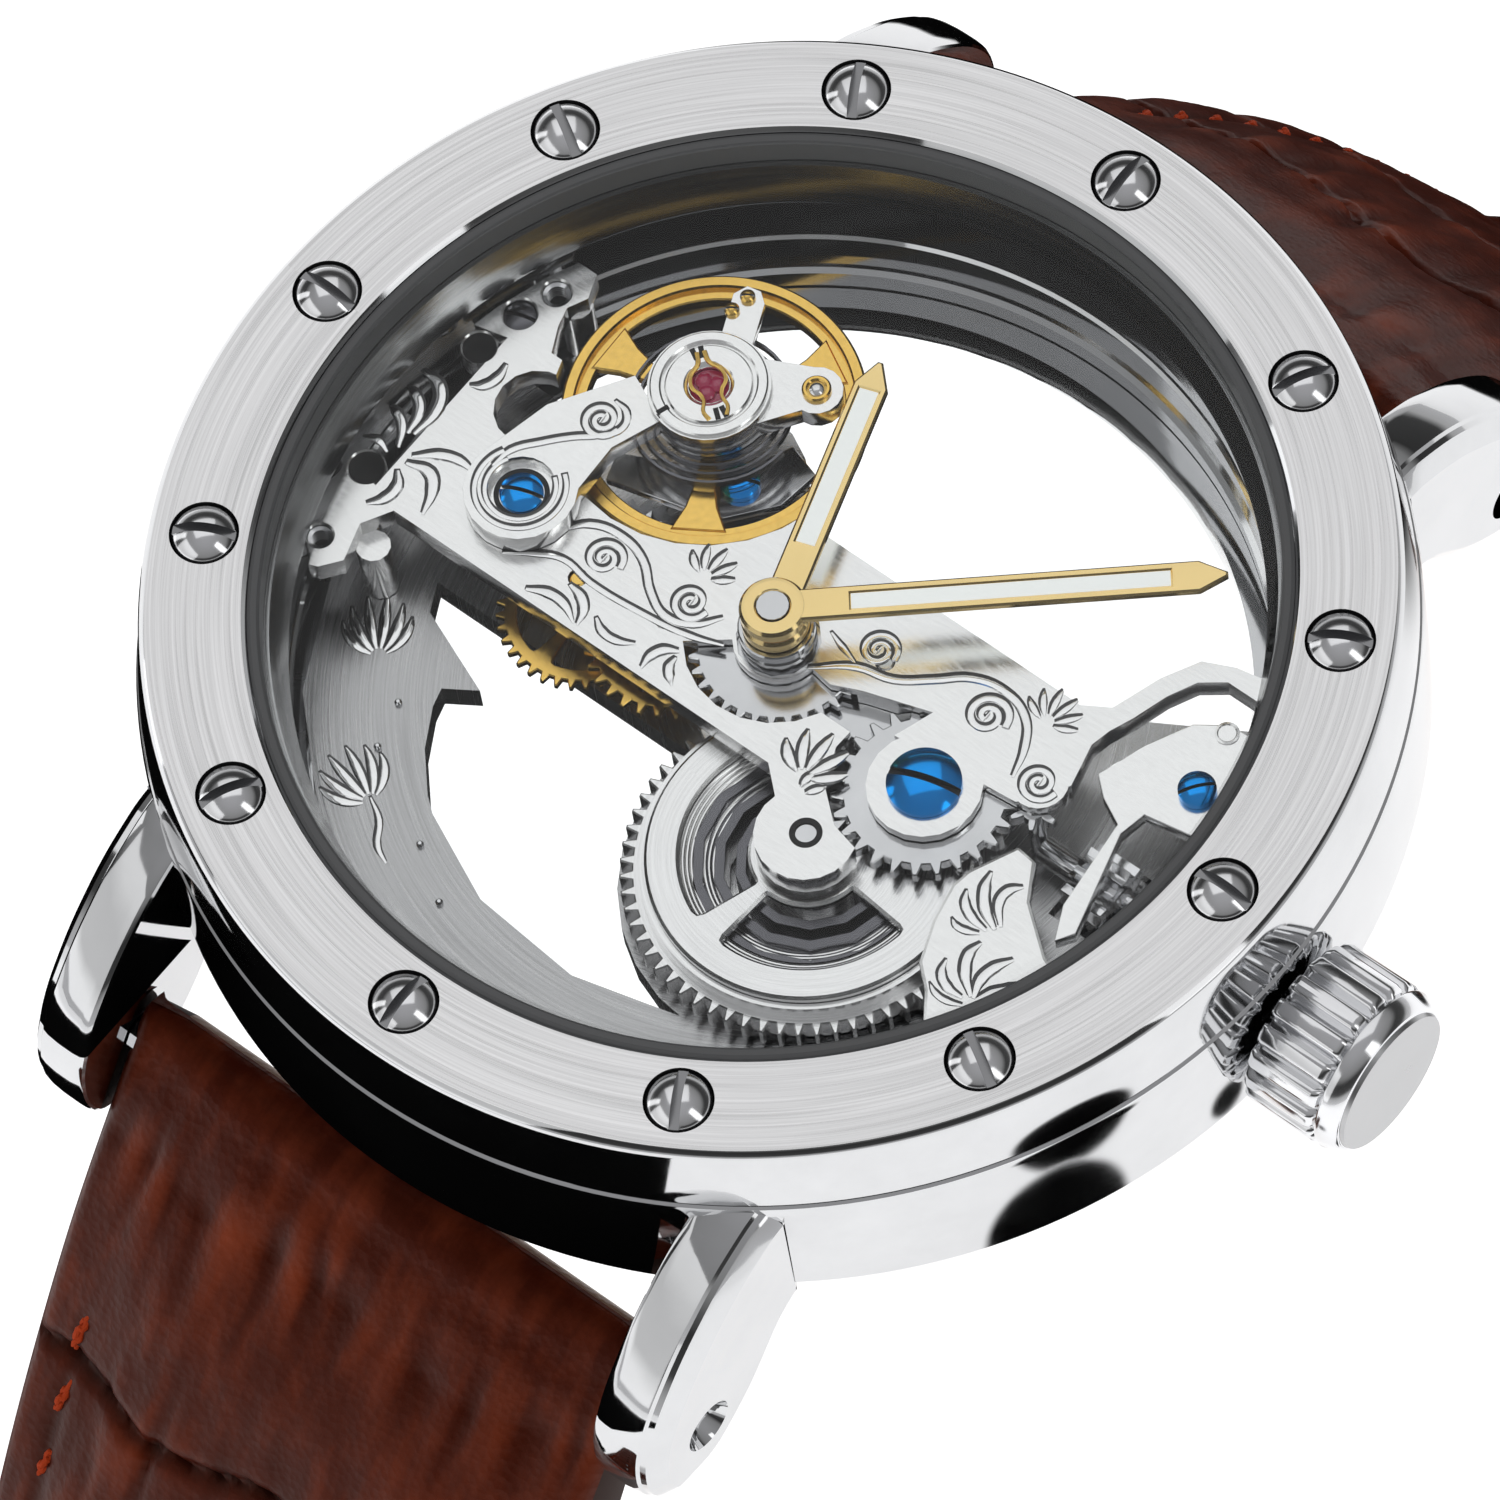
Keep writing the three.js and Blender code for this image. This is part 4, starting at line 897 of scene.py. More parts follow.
def gear_outline(centre, teeth, tip, root, phase):
    """Teeth with straight flanks and narrow flat tips."""
    step = 2 * math.pi / teeth
    middle = (tip + root) / 2
    shape = ((-0.3, root), (-0.2, middle), (-0.1, tip), (0.1, tip), (0.2, middle), (0.3, root))
    points = []
    for i in range(teeth):
        for part, radius in shape:
            angle = phase + (i + part) * step
            points.append((centre[0] + radius * math.cos(angle), centre[1] + radius * math.sin(angle)))
    return points


def window(centre, inner, outer, first, last, corner=0.3, steps=14):
    """A kidney-shaped opening in a wheel."""
    points = arc(centre, outer, first, last, steps) + arc(centre, inner, last, first, steps)
    return rounded(points, corner, 2)


def make_barrel():
    """The toothed drum, its cover with three windows, and the turned steps that show through them."""
    centre = barrel_place
    drum_low, cover_low, cover_high = 2.7, 5.15, 5.42
    bore = [circle(centre, 1.05, 32)]
    kidneys = [window(centre, 2.05, 4.35, first, last) for first, last in ((146, 250), (266, 354), (22, 126))]
    cover = prism(circle(centre, 5.5, 96), cover_low, cover_high, kidneys + bore, edge=0.1)
    wall = prism(circle(centre, 5.72, 96), drum_low, 5.1, [circle(centre, 5.15, 64)])
    teeth = gear_outline(centre, 64, 6.4, 5.98, tooth_phase("barrel", centre))
    rim = prism(teeth, 3.6, 4.5, [circle(centre, 5.5, 64)], edge=0.05, lower_edge=0.05)
    floor = prism(circle(centre, 5.6, 64), drum_low, 3.1, bore)
    steps = 9
    tread, drop = 0.14, 0.07
    profile = [(4.4, 5.16)]
    for i in range(steps):
        outer = 4.4 - tread * i
        level = 5.16 - drop * i
        profile += [(outer - 0.05, level), (outer - 0.1, level - 0.05), (outer - tread, level - drop)]
    profile += [(3.1, 4.4), (4.4, 4.4)]
    stand_in(join(cover, wall, rim, floor, lathe(profile, 96, centre)), "barrel", looks["barrel"], 30)


def make_wheel(node, joint, teeth, module, low, high, material, holes=(), extras=()):
    """A toothed wheel with windows (inner, outer, first, last) and turned parts on its arbor."""
    centre = joint_place(joint)
    pitch_radius = module * teeth / 2
    outline = gear_outline(centre, teeth, pitch_radius + 0.75 * module, pitch_radius - 1.05 * module,
                           tooth_phase(node, centre))
    openings = [window(centre, *hole, 0.25, 8) for hole in holes]
    toothed = prism(outline, low, high, openings, edge=0.04)
    turned = [lathe(profile, 32, centre) for profile in extras]
    stand_in(join(toothed, *turned), node, material, 30)


def hub(radius, low, high):
    """A turned boss with a small chamfer, as a profile."""
    return [(0, low), (radius, low), (radius, high - 0.05), (radius - 0.05, high), (0, high)]


def four_windows(inner, outer):
    return [(inner, outer, start + 9, start + 81) for start in (0, 90, 180, 270)]


def make_wheels():
    make_barrel()
    refined("mainspring", looks["dark"], 0.02)
    refined("ratchet_wheel", looks["steel"], 0.04)
    steel = looks["steel"]
    gold = looks["gold"]
    winding_module = 0.23
    make_wheel("crown_wheel", "crown_wheel_turn", 26, winding_module, 5.8, 6.25, steel)
    make_wheel("transfer_wheel", "transfer_wheel_turn", 6, winding_module, 5.8, 6.25, steel,
               extras=[hub(0.3, 3.25, 6.3)])
    refined("centre_arbor", steel, 0.03)
    pipe = [(0.62, 6.2), (1.3, 6.2), (1.3, 7.1), (1.22, 7.2), (1.3, 7.3), (1.3, 7.6), (1.25, 7.65),
            (0.84, 7.65), (0.84, 8.35), (0.62, 8.35)]
    make_wheel("hour_wheel", "hour_turn", 32, 0.185, 5.95, 6.25, steel, extras=[pipe])
    make_wheel("minute_wheel", "minute_wheel_turn", 30, 0.185, 5.5, 5.75, steel,
               extras=[hub(0.6, 5.7, 6.25), hub(PIVOT, 5.4, BRIDGE_TOP - 0.05)])
    arbor = hub(PIVOT, 2.15, BRIDGE_TOP - 0.05)
    make_wheel("third_wheel", "third_wheel_turn", 28, 0.1945, 5.05, 5.3, gold, four_windows(0.9, 2.1),
               [arbor])
    make_wheel("fourth_wheel", "fourth_wheel_turn", 36, 0.16, 4.25, 4.5, gold, four_windows(0.9, 2.3),
               [arbor, hub(0.6, 4.4, 5.4)])
    refined("escape_wheel", looks["steel"], 0.02)
    refined("pallet_fork", looks["steel"], 0.03)


def make_balance():
    """A gilt rim with an inner step, three flared arms, a boss and a staff."""
    centre = joint_place("balance_swing")
    rim = lathe([(4.4, 5.45), (4.45, 5.4), (5.12, 5.4), (5.2, 5.48), (5.2, 6.12), (5.12, 6.2), (4.82, 6.2),
                 (4.76, 6.12), (4.76, 5.95), (4.45, 5.95), (4.4, 5.9)], 128, centre)
    arms = []
    side = [(0.3, 0.3), (1.2, 0.24), (2.6, 0.32), (3.6, 0.55), (4.5, 0.95)]
    outline = side + [(x, -y) for x, y in reversed(side)]
    for turn in (62, 182, 302):
        arms.append(prism(spun(outline, math.radians(turn), centre), 5.72, 6.02, edge=0.06))
    boss = lathe(hub(0.8, 5.3, 6.1), 32, centre)
    staff = lathe(hub(PIVOT, 2.15, 7.4), 24, centre)
    stand_in(join(rim, *arms, boss, staff), "balance_wheel", looks["gold"], 30)


def make_hairspring():
    """A flat spiral strip of seven turns."""
    centre = Vector((*joint_place("balance_swing"), 0))
    turns = 7
    steps = 40
    inner, outer = 0.75, 3.0
    half = 0.045
    body = bmesh.new()
    rows = []
    for i in range(turns * steps + 1):
        radius = inner + (outer - inner) * i / (turns * steps)
        angle = 2 * math.pi * i / steps
        ahead = Vector((math.cos(angle), math.sin(angle), 0))
        rows.append([body.verts.new(centre + ahead * reach + Vector((0, 0, height)))
                     for reach, height in box_points(radius - half, radius + half, 6.28, 6.58)])
    skin(body, rows)
    body.faces.new(rows[0])
    body.faces.new(rows[-1])
    bmesh.ops.recalc_face_normals(body, faces=body.faces)
    stand_in(body, "hairspring", looks["dark"])


make_wheels()
make_balance()
make_hairspring()


# ---------------------------------------------------------------- movement: screws, regulator, hands

def make_blue_screws():
    """Domed heads whose slots run from edge to edge, their slots in painted shade, and a dark ring of painted
    shadow round the cock's screw.
    """
    wheel_screw = joint_place("crown_wheel_turn")
    for node, spot, radius, low, high, turn in (("cock_screw", COCK_SCREW, 0.75, 7.2, 7.5, 0.35),
                                                ("crown_wheel_screw", wheel_screw, 1.27, 6.72, 7.24, 0.3),
                                                ("keyless_screw", (14.6, 3.9), 0.65, 6.12, 6.56, 0.9),
                                                ("pallet_bridge_screw", (-5.4, 4.4), 0.68, 5.02, 5.45, 0.5)):
        crown = 0.27 * radius
        head = slotted_head(spot, radius, low, high, crown, turn, 0.2 * radius, crown + 0.1)
        stand_in(head, node, [looks["blue"], looks["hole"]], 50)
    gap_shade = washer(COCK_SCREW, 0.77, 0.95, 7.16, 7.23)
    place(gap_shade, "cock_screw_gap", looks["hole"], HEAD)


def make_regulator(centre, table):
    """Two turned discs on the cock, and thin dark marks laid on them: painted shade that stands for their slots.
    """
    outer = lathe([(1.62, table), (2.0, table), (2.0, table + 0.1), (1.95, table + 0.14),
                   (1.68, table + 0.14), (1.62, table + 0.1)], 96, centre)
    inner = lathe([(0.72, table - 0.3), (1.5, table - 0.3), (1.5, table + 0.06), (1.44, table + 0.12),
                   (0.86, table + 0.12), (0.72, table + 0.02)], 96, centre)
    place(join(outer, inner), "regulator_discs", looks["cock"], HEAD)
    marks = []
    for angle, reach in ((140, 1.25), (152, 1.25), (250, 1.8), (322, 1.2), (334, 1.2)):
        outline = spun(box_points(reach - 0.22, reach + 0.22, -0.09, 0.09), math.radians(angle), centre)
        marks.append(prism(outline, table + 0.08, table + 0.145))
    place(join(*marks), "regulator_slot_shade", looks["hole"], HEAD)


def make_shock_setting(centre):
    """The three-lobed cap jewel under the lyre-shaped shock spring."""
    lobes = [lathe([(0, 7.6), (0.3, 7.6), (0.3, 7.88), (0.2, 7.95), (0, 7.98)], 24, spot)
             for spot in circle(centre, 0.27, 3, math.radians(50))]
    base = lathe([(0, 7.45), (0.66, 7.45), (0.66, 7.78), (0, 7.8)], 32, centre)
    place(join(*lobes, base), "cap_jewel_fine", looks["ruby"], HEAD, ["cap_jewel"])
    half = ((-1.25, 0.12, 0.1), (-0.8, 0.2, 0.09), (-0.45, 0.5, 0.07), (0.0, 0.58, 0.07), (0.35, 0.36, 0.07),
            (0.62, 0.32, 0.07), (1.0, 0.42, 0.07), (1.35, 0.3, 0.09))
    lyre = []
    for side in (-1, 1):
        places = spun([(along, side * across) for along, across, _ in half], math.radians(-38), centre)
        lyre.append([(x, y, width) for (x, y), (_, _, width) in zip(places, half)])
    strokes("shock_spring", lyre, 8.02, 0.7, looks["gold"], HEAD)


def make_small_fittings():
    """The stud's two gold screws, the banking pin and the pin of the keyless cover."""
    stud = [slotted_head(spot, 0.26, 7.55, 7.85, 0.12, 0.6, 0.08, 0.1)
            for spot in ((-8.72, 8.45), (-8.6, 9.15))]
    place(join(*stud), "stud_screws", [looks["gold"], looks["slot"]], HEAD)
    pin = (-4.5, 7.75)
    place(lathe([(0.3, 7.55), (0.5, 7.55), (0.5, 7.72), (0.44, 7.78), (0.36, 7.78), (0.3, 7.72)], 48, pin),
          "pin_ring", looks["gold"], HEAD)
    place(lathe([(0, 7.5), (0.3, 7.5), (0.3, 7.68), (0.22, 7.76), (0.1, 7.8), (0, 7.81)], 32, pin),
          "pin_dome", looks["screw"], HEAD)
    profile = [(0, 6.0), (0.42, 6.0), (0.42, 6.14), (0.34, 6.16), (0.3, 6.12), (0, 6.12)]
    place(lathe(profile, 40, (14.04, 6.2)), "cover_pin", looks["cock"], HEAD)


def make_hand(node, degrees, half_width, tip, low, boss_heights, bore, lume):
    """A gilt baton with a pointed tip, a cut-out (from, to, half width) and its luminous filling."""
    high = low + 0.25
    shoulder = tip - 0.95
    turn = math.radians(degrees)
    outline = [(-half_width, 0.6), (half_width, 0.6), (half_width, shoulder), (0.09, tip), (-0.09, tip),
               (-half_width, shoulder)]
    inner, outer, width = lume
    opening = spun(box_points(-width, width, inner, outer), turn)
    blade = prism(spun(outline, turn), low, high, [opening], edge=0.07)
    boss_low, boss_high = boss_heights
    boss_radius = 1.14
    boss = lathe([(bore, boss_low), (boss_radius - 0.05, boss_low), (boss_radius, boss_low + 0.05),
                  (boss_radius, boss_high - 0.14), (boss_radius - 0.1, boss_high - 0.02),
                  (boss_radius - 0.2, boss_high), (bore + 0.05, boss_high), (bore, boss_high - 0.05)], 64)
    stand_in(join(blade, boss), node, looks["hand"], 28)
    filling = prism(opening, low + 0.04, high - 0.05)
    place(filling, node + "_lume", looks["lume"], body_of(node))


make_blue_screws()
make_regulator(joint_place("balance_swing"), 7.9)
make_shock_setting(joint_place("balance_swing"))
make_small_fittings()
make_hand("hour_hand", 18.3, 0.6, 10.12, 8.0, (7.75, 8.3), 0.88, (2.9, 9.0, 0.33))
make_hand("minute_hand", -49.25, 0.58, 15.1, 8.7, (8.45, 8.98), 0.58, (2.6, 13.2, 0.28))


# ---------------------------------------------------------------- engraving

def rosette(centre, radius, clockwise=1, start=0.0):
    """A spiral scroll that winds into a small button."""
    steps = 22
    line = []
    for i in range(steps + 1):
        part = i / steps
        reach = radius * (1 - 0.8 * part)
        angle = start + clockwise * 2 * math.pi * 1.75 * part
        line.append((centre[0] + reach * math.cos(angle), centre[1] + reach * math.sin(angle),
                     0.13 * radius / 0.65 * (1 - 0.25 * part)))
    button = [(centre[0] - 0.02, centre[1], 0.15), (centre[0] + 0.02, centre[1], 0.15)]
    return [line, button]


def petal(points, width=0.24):
    """A crescent through a few points: broad in the middle and pointed at both ends."""
    last = len(points) - 1
    swell = [max(0.03, width * math.sin(math.pi * (0.12 + 0.8 * i / last))) for i in range(last + 1)]
    return [(x, y, half) for (x, y), half in zip(points, swell)]


def fan(root, first, last, count, length, bend, width=0.2):
    """Curved leaves that spread from a root."""
    lines = []
    for i in range(count):
        share = i / max(1, count - 1)
        heading = math.radians(first + (last - first) * share)
        turn = math.radians(bend * (2 * share - 1 if count > 1 else 1))
        reach = length * (0.82 + 0.18 * math.sin(math.pi * share))
        x, y = root
        points = []
        for k in range(6):
            points.append((x + 0.28 * math.cos(heading), y + 0.28 * math.sin(heading)))
            x += reach / 5 * math.cos(heading)
            y += reach / 5 * math.sin(heading)
            heading += turn / 5
        lines.append(petal(points, width))
    return lines


def ridge(points, width=0.15):
    """A line of even width that thins at both ends."""
    last = len(points) - 1
    return [(x, y, width * (0.4 if i in (0, last) else 1)) for i, (x, y) in enumerate(points)]


def engraved(name, lines, height):
    """Bright cut ridges, each beside a flat dark stroke of painted shade on its upper left."""
    shade = [[(x - 0.07, y + 0.05, width * 1.25) for x, y, width in line] for line in lines]
    strokes(name + "_shade", shade, height, 0.1, looks["shade"], HEAD)
    strokes(name, lines, height, 0.6, looks["engraving"], HEAD, 0.015)


def engrave_bridge():
    lines = []
    for centre, radius, clockwise in (((-6.6, -1.1), 0.68, 1), ((-3.2, -0.68), 0.66, -1),
                                      ((3.0, 1.6), 0.66, 1), ((7.45, 1.8), 0.76, 1),
                                      ((10.4, 0.85), 0.68, -1)):
        lines += rosette(centre, radius, clockwise)
    lines += [
        ridge([(-8.5, -1.2), (-7.8, -0.4), (-6.6, -0.12), (-5.5, -0.4), (-4.5, -1.2), (-3.6, -1.6),
               (-2.6, -1.3), (-1.95, -0.5)]),
        ridge([(-9.5, -2.95), (-8.6, -2.35), (-7.7, -1.95), (-6.4, -2.1), (-4.4, -2.0), (-2.4, -1.7),
               (-1.3, -1.3)], 0.12),
        ridge([(1.5, -0.3), (2.8, 0.65), (4.1, 1.0), (5.2, 1.8), (6.2, 2.6), (7.4, 2.85), (8.5, 2.5),
               (9.2, 1.6), (9.55, 0.5)]),
        ridge([(1.3, 1.2), (2.0, 0.95), (2.7, 0.75)], 0.12),
        petal([(-14.8, -1.2), (-14.75, 0.0), (-15.3, 0.75), (-16.1, 0.85)], 0.24),
        petal([(-15.0, -1.3), (-15.2, -0.4), (-15.7, 0.0), (-16.1, 0.1)], 0.2),
        petal([(-14.9, -1.9), (-15.3, -1.2), (-15.8, -0.9), (-16.1, -0.85)], 0.18),
        petal([(-15.1, -2.25), (-15.6, -2.1), (-16.1, -2.3)], 0.14),
        petal([(-14.3, -1.9), (-13.6, -1.35), (-12.9, -1.1), (-12.1, -1.15)], 0.2),
        petal([(-14.3, -2.2), (-13.4, -2.05), (-12.9, -2.5), (-12.6, -3.4)], 0.24),
        petal([(-14.35, -2.6), (-13.95, -3.1), (-14.0, -3.7), (-14.4, -4.2)], 0.22),
        petal([(-13.95, 2.7), (-13.85, 2.1), (-14.05, 1.6), (-14.45, 1.35)], 0.2),
        petal([(-8.0, -3.55), (-7.3, -3.25), (-6.6, -3.25), (-5.9, -3.6)], 0.2),
        petal([(-6.9, -2.55), (-6.3, -2.7), (-5.9, -3.05), (-5.75, -3.6)], 0.2),
        petal([(-5.4, -3.0), (-4.9, -3.3), (-4.3, -3.3), (-3.7, -2.98)], 0.17),
        petal([(-2.35, -2.35), (-2.8, -2.65), (-3.0, -3.05), (-3.0, -3.6)], 0.2),
        petal([(-2.3, -2.6), (-2.25, -3.0), (-2.0, -3.3), (-1.75, -3.5)], 0.18),
    ]
    lines += fan((3.9, -3.6), 168, 20, 5, 1.55, 38, 0.2)
    lines += fan((4.15, -4.2), 100, 40, 2, 0.9, 20, 0.15)
    lines += fan((9.2, 2.75), 175, 5, 6, 1.05, 30, 0.13)
    lines += fan((-3.45, 0.3), 165, 15, 5, 1.0, 30, 0.14)
    engraved("bridge_engraving", lines, BRIDGE_TOP)


def engrave_cock():
    cock_top = 7.6
    lines = rosette((-9.62, 2.62), 0.68, -1)
    lines.append(ridge([(-11.5, -0.9), (-11.35, -0.1), (-10.7, 0.75), (-10.0, 1.5), (-9.3, 2.1),
                        (-8.85, 2.75), (-9.1, 3.3), (-9.7, 3.45)], 0.13))
    for radius, width in ((1.2, 0.09), (1.55, 0.1)):
        lines.append([(x, y, width) for x, y in arc(COCK_SCREW, radius, 150, 415, 26)])
    engraved("cock_engraving", lines, cock_top)


def engrave_side_plate():
    side_plate_top = 6.2
    lines = [
        petal([(12.5, -3.9), (11.9, -3.2), (11.9, -2.7), (12.2, -2.3)], 0.2),
        petal([(12.4, -4.1), (11.7, -3.7), (11.2, -3.1), (11.0, -2.5)], 0.22),
        petal([(12.2, -4.3), (11.5, -4.2), (11.0, -3.9), (10.75, -3.5)], 0.18),
        petal([(12.1, -4.5), (11.7, -4.7), (11.3, -4.75), (11.0, -4.6)], 0.14),
        petal([(13.3, -6.5), (12.6, -5.9), (12.3, -5.3), (12.35, -4.75)], 0.22),
        petal([(13.4, -6.5), (13.2, -5.8), (13.3, -5.2), (13.6, -4.6)], 0.22),
        petal([(13.5, -6.5), (13.8, -6.0), (14.2, -5.5), (14.4, -5.1)], 0.2),
        petal([(13.1, -6.7), (12.5, -6.7), (12.0, -6.4), (11.8, -5.9)], 0.18),
        petal([(13.3, -6.9), (12.8, -7.1), (12.3, -7.1), (11.9, -6.9)], 0.13),
    ]
    engraved("side_plate_engraving", lines, side_plate_top)


def engrave_plate():
    plate_top = 3.2
    lines = fan((-11.9, -7.2), 200, 60, 6, 2.0, 60, 0.17)
    lines += fan((-8.6, -11.6), 230, 90, 6, 2.0, 60, 0.17)
    lines.append(ridge([(-8.7, -11.5), (-7.9, -12.0), (-7.3, -12.8), (-6.7, -13.1)], 0.12))
    engraved("plate_engraving", lines, plate_top)


def make_end_block_fittings():
    """The end block's screw and bushings, the plate's four pins and a dark ring of painted shade at the barrel's
    hole.
    """
    # the screw's slot is in painted shade
    place(slotted_head((-14.85, 4.5), 0.54, 5.9, 6.62, 0.1, 0.3, 0.14, 0.2), "end_block_screw",
          [looks["dark"], looks["hole"]], HEAD)
    bushes = []
    for spot, radius in (((-14.35, 5.85), 0.48), ((-14.9, -6.05), 0.43)):
        for i in range(5):
            low = 5.85 + 0.15 * i
            bushes.append(lathe([(radius - 0.14, low + 0.04), (radius, low), (radius, low + 0.12),
                                 (radius - 0.14, low + 0.08)], 32, spot))
    place(join(*bushes), "threaded_bushings", looks["steel"], HEAD)
    pins = [lathe([(0, 3.1), (0.13, 3.1), (0.13, 3.32), (0.06, 3.4), (0, 3.4)], 16, spot)
            for spot in ((-10.2, -8.2), (-4.3, -13.2), (-6.2, -11.9), (-9.7, -9.9))]
    place(join(*pins), "plate_pins", looks["screw"], HEAD)
    rim = washer(barrel_place, 0.36, 0.56, BRIDGE_TOP - 0.01, BRIDGE_TOP + 0.012, sides=40)
    place(rim, "arbor_hole", looks["hole"], HEAD)


engrave_bridge()
engrave_cock()
engrave_side_plate()
engrave_plate()
make_end_block_fittings()


# ---------------------------------------------------------------- strap

# half heights at the bar, of the padding and of the thin part; half widths at the lugs and at the buckle
FLOOR_Z = cad_box[0][2] / MM
END_RADIUS = 1.55
PAD = 2.2
THIN = 1.1
HALF_WIDTH = 10.85
END_HALF_WIDTH = 9.0
STITCH_INSET = 1.9


def smoothstep(value, low, high):
    part = min(1.0, max(0.0, (value - low) / (high - low)))
    return part * part * (3 - 2 * part)


def strap_line(length, start_angle, flat_z, spacing=0.3):
    """Points (s, y, z, angle) down the middle of a strap half, from the spring bar to its end."""
    straight = 5.0
    steep = math.radians(67)
    bend_radius = 12.8
    start = math.radians(start_angle)
    bend_drop = bend_radius * (1 - math.cos(steep))
    steep_drop = BAR_Z - flat_z - bend_drop - straight * math.sin(start)
    steep_length = steep_drop * (steep - start) / (math.cos(start) - math.cos(steep))
    bend_length = bend_radius * steep
    steps = round(length / spacing)
    y, z, line = BAR_Y, BAR_Z, []
    for i in range(steps + 1):
        s = length * i / steps
        if s <= straight:
            angle = start
        elif s <= straight + steep_length:
            angle = start + (steep - start) * (s - straight) / steep_length
        else:
            angle = max(0.0, steep * (1 - (s - straight - steep_length) / bend_length))
        line.append((s, y, z, angle))
        ahead = length / steps
        y += ahead * math.cos(angle)
        z -= ahead * math.sin(angle)
    return line


def half_width(s):
    """Half of a strap half's width at a distance from its bar."""
    return HALF_WIDTH + (END_HALF_WIDTH - HALF_WIDTH) * smoothstep(s, 4, 60)


def crowned(height, share):
    """The smooth top's height at a share of the half width: flat in the middle, lower at the edges."""
    edge = min(height, 0.95 + 0.25 * (height - THIN))
    return height - (height - edge) * smoothstep(share, 0.45, 1.0)


def half_height(s):
    """Half of the thickness at a distance from the bar."""
    rise = smoothstep(s, 0, 9)
    fall = smoothstep(s, 16, 44)
    return END_RADIUS + (PAD - END_RADIUS) * rise - (PAD - THIN) * fall


def crocodile(s, x, half_width, seed):
    """Height in millimetres of the embossed scales at a point of the strap, and a colour factor for them."""
    warp = noise.noise(Vector((x * 0.12, s * 0.05, seed)))
    pitch = 9.0
    along = s - 3.6 + 1.6 * warp + 0.3 * noise.noise(Vector((x * 0.5, s * 0.3, seed + 5)))
    row = math.floor(along / pitch)
    to_row = min(along - row * pitch, (row + 1) * pitch - along)
    shift = 0.5 * (row % 2) + 0.25 * noise.noise(Vector((row * 3.1, seed, 0.5)))
    wide = 7.6
    across = x + 0.8 * noise.noise(Vector((x * 0.2, s * 0.25, seed + 9))) + shift * wide
    column = math.floor(across / wide)
    to_column = min(across - column * wide, (column + 1) * wide - across)
    past_end = smoothstep(s, 8, 11)
    edge = smoothstep(half_width - abs(x), 0.2, 2.2)
    row_crease = math.exp(-(to_row / 0.24) ** 2) * past_end
    column_crease = math.exp(-(to_column / 0.22) ** 2) * past_end * edge * 0.6
    puff = (1 - math.exp(-to_row / 1.5)) * (1 - 0.5 * math.exp(-to_column / 1.0) * past_end)
    near_row = math.exp(-to_row / 2.2)
    wrinkle = noise.noise(Vector((x * 0.75, s * 0.12, seed + 20)))
    soft = noise.noise(Vector((x * 0.35, s * 0.3, seed + 40)))
    fine = noise.noise(Vector((x * 2.6, s * 1.6, seed + 30)))
    pleats = (0.3 * near_row + 0.06) * (abs(wrinkle) * 1.6 - 0.3) * edge
    height = -0.4 * row_crease - 0.16 * column_crease + 0.2 * puff + pleats + 0.08 * soft + 0.015 * fine
    # colour factor: painted shade darkens the creases; puffed scales and wrinkles near the creases are paler,
    # partly wear and partly painted highlight; random tone on top
    wear_shade_and_sheen = 0.14 * puff - 0.35 * row_crease - 0.22 * column_crease
    wear_shade_and_sheen += 0.9 * max(0, abs(wrinkle) - 0.12) * near_row + 0.1 * soft + 0.2
    return height * smoothstep(s, 0.0, 2.0), wear_shade_and_sheen


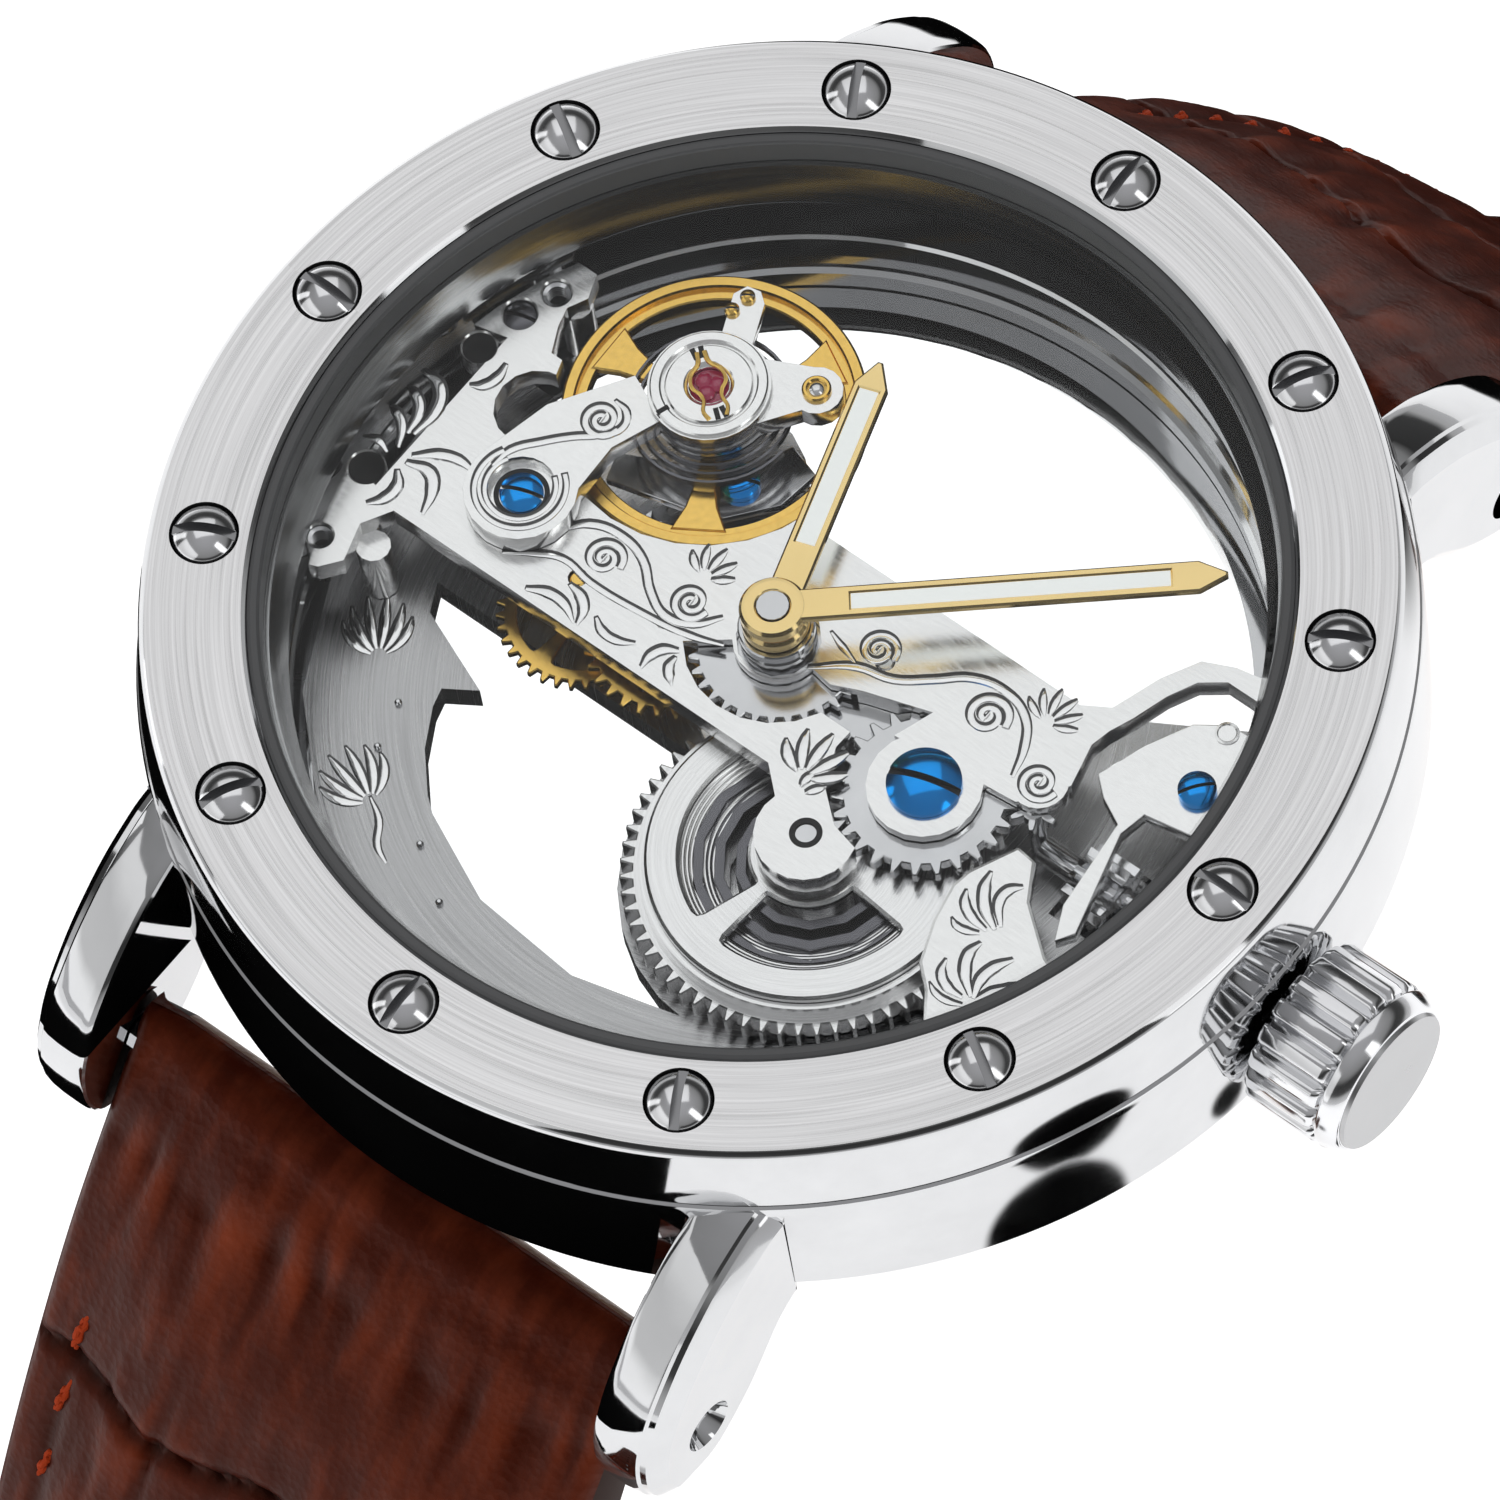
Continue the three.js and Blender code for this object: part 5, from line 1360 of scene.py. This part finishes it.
def strap_half(node, side, length, start_angle, flat_z, seed, pointed):
    """A padded half: embossed top, painted edges and a smooth lining, round a bar at its lug end."""
    line = strap_line(length, start_angle, flat_z)
    start = line[0][3]
    stations = []
    for i in range(8):
        s = -END_RADIUS * math.cos(math.pi / 2 * i / 8)
        stations.append((s, BAR_Y + s * math.cos(start), BAR_Z - s * math.sin(start), start))
    stations += line
    across = 76
    under = 16
    point_length = 9
    body = bmesh.new()
    relief = body.verts.layers.float.new("relief")
    rows = []
    for s, y, z, angle in stations:
        height = math.sqrt(max(0.0004, END_RADIUS ** 2 - s * s)) if s < 0 else half_height(s)
        width = half_width(s)
        if pointed and s > length - point_length:
            part = min(1.0, (s - (length - point_length)) / point_length)
            width = max(0.25, END_HALF_WIDTH * (1 - part ** 1.8) ** 0.62)
        row = []
        for k in range(across + 1):
            u = -1 + 2 * k / across
            u = math.copysign(abs(u) ** 0.85, u)
            x = u * width
            bump, wear_shade_and_sheen = crocodile(s, x, width, seed)
            seam = math.exp(-((width - abs(x) - STITCH_INSET) / 0.35) ** 2) * smoothstep(s, 9, 12)
            lip = smoothstep(abs(u), 0.965, 1.0)
            up = crowned(height, abs(u)) + (bump - 0.22 - 0.22 * seam) * (1 - lip) - 0.55 * lip
            # darker along the stitch groove: painted shade
            row.append((x, up, wear_shade_and_sheen - 0.25 * seam))
        for k in range(under + 1):
            u = 1 - 2 * k / under
            lip = smoothstep(abs(u), 0.9, 1.0)
            row.append((u * width * (1 - 0.01 * lip), -height + 0.3 * lip, 0.3))
        made = []
        for x, up, wear_shade_and_sheen in row:
            px, py, pz = x, y + up * math.sin(angle), z + up * math.cos(angle)
            vertex = body.verts.new((px, side * py, pz))
            vertex[relief] = wear_shade_and_sheen
            made.append(vertex)
        rows.append(made)
    leather, edge, lining = range(3)
    for row in skin(body, rows):
        for k, face in enumerate(row):
            below = k > across + 1 and k < len(row) - 2
            face.material_index = leather if k < across else lining if below else edge
    body.faces.new(rows[0]).material_index = leather
    body.faces.new(rows[-1]).material_index = edge
    bmesh.ops.recalc_face_normals(body, faces=body.faces)
    if pointed:
        hole_radius, first_hole, spacing = 0.95, 22, 6.5
        tip = side * line[-1][1]
        holes = [disc((0, tip + first_hole + spacing * i), hole_radius, flat_z - 4, flat_z + 4, 32)
                 for i in range(6)]
        body = boolean(body, join(*holes))
    piece = stand_in(body, node, [looks["leather"], looks["edge"], looks["lining"]], 60)
    make_stitches(node, side, line, length, pointed)
    return line


def thread_point(line, side, edge_side, start, part, strand):
    """A point (x, y, z, half width) of one of a stitch's two twisted strands."""
    stitch_length = 1.9
    s = start + stitch_length * part
    _, y, z, angle = line[min(len(line) - 1, round(s / line[1][0]))]
    width = half_width(s)
    bow = math.sin(math.pi * part)
    twist = strand + 3 * math.pi * part
    x = edge_side * (width - STITCH_INSET + 0.5 * (part - 0.5)) + 0.08 * math.cos(twist)
    up = crowned(half_height(s), abs(x) / width) - 0.5 + 0.3 * bow + 0.08 * math.sin(twist)
    return (x, side * (y + up * math.sin(angle)), z + up * math.cos(angle), 0.08 + 0.05 * bow)


def make_stitches(node, side, line, length, pointed):
    """Twisted thread in short diagonal stitches, two rows, just proud of the leather."""
    pitch = 2.9
    first = 10
    last = length - (13 if pointed else 8)
    threads = []
    for i in range(int((last - first) / pitch)):
        start = first + i * pitch
        for edge_side in (-1, 1):
            for strand in (0, math.pi):
                threads.append([thread_point(line, side, edge_side, start, k / 12, strand)
                                for k in range(13)])
    body = swept(node + "_stitching", threads, 2, 2)
    place(body, node + "_stitching", looks["thread"], body_of(node))


short_flat = FLOOR_Z + 0.95 + THIN
strap_half("strap_12", 1, 80, 52, short_flat, 3.0, False)
strap_half("strap_6", -1, 115, 55, FLOOR_Z + THIN, 11.0, True)
for name in ("fixed_keeper", "free_keeper"):
    refined(name, looks["leather"], 0.3)
for name in ("buckle_frame", "buckle_prong"):
    refined(name, looks["case"], 0.35)
refined("buckle_bar", looks["screw"], 0.05)
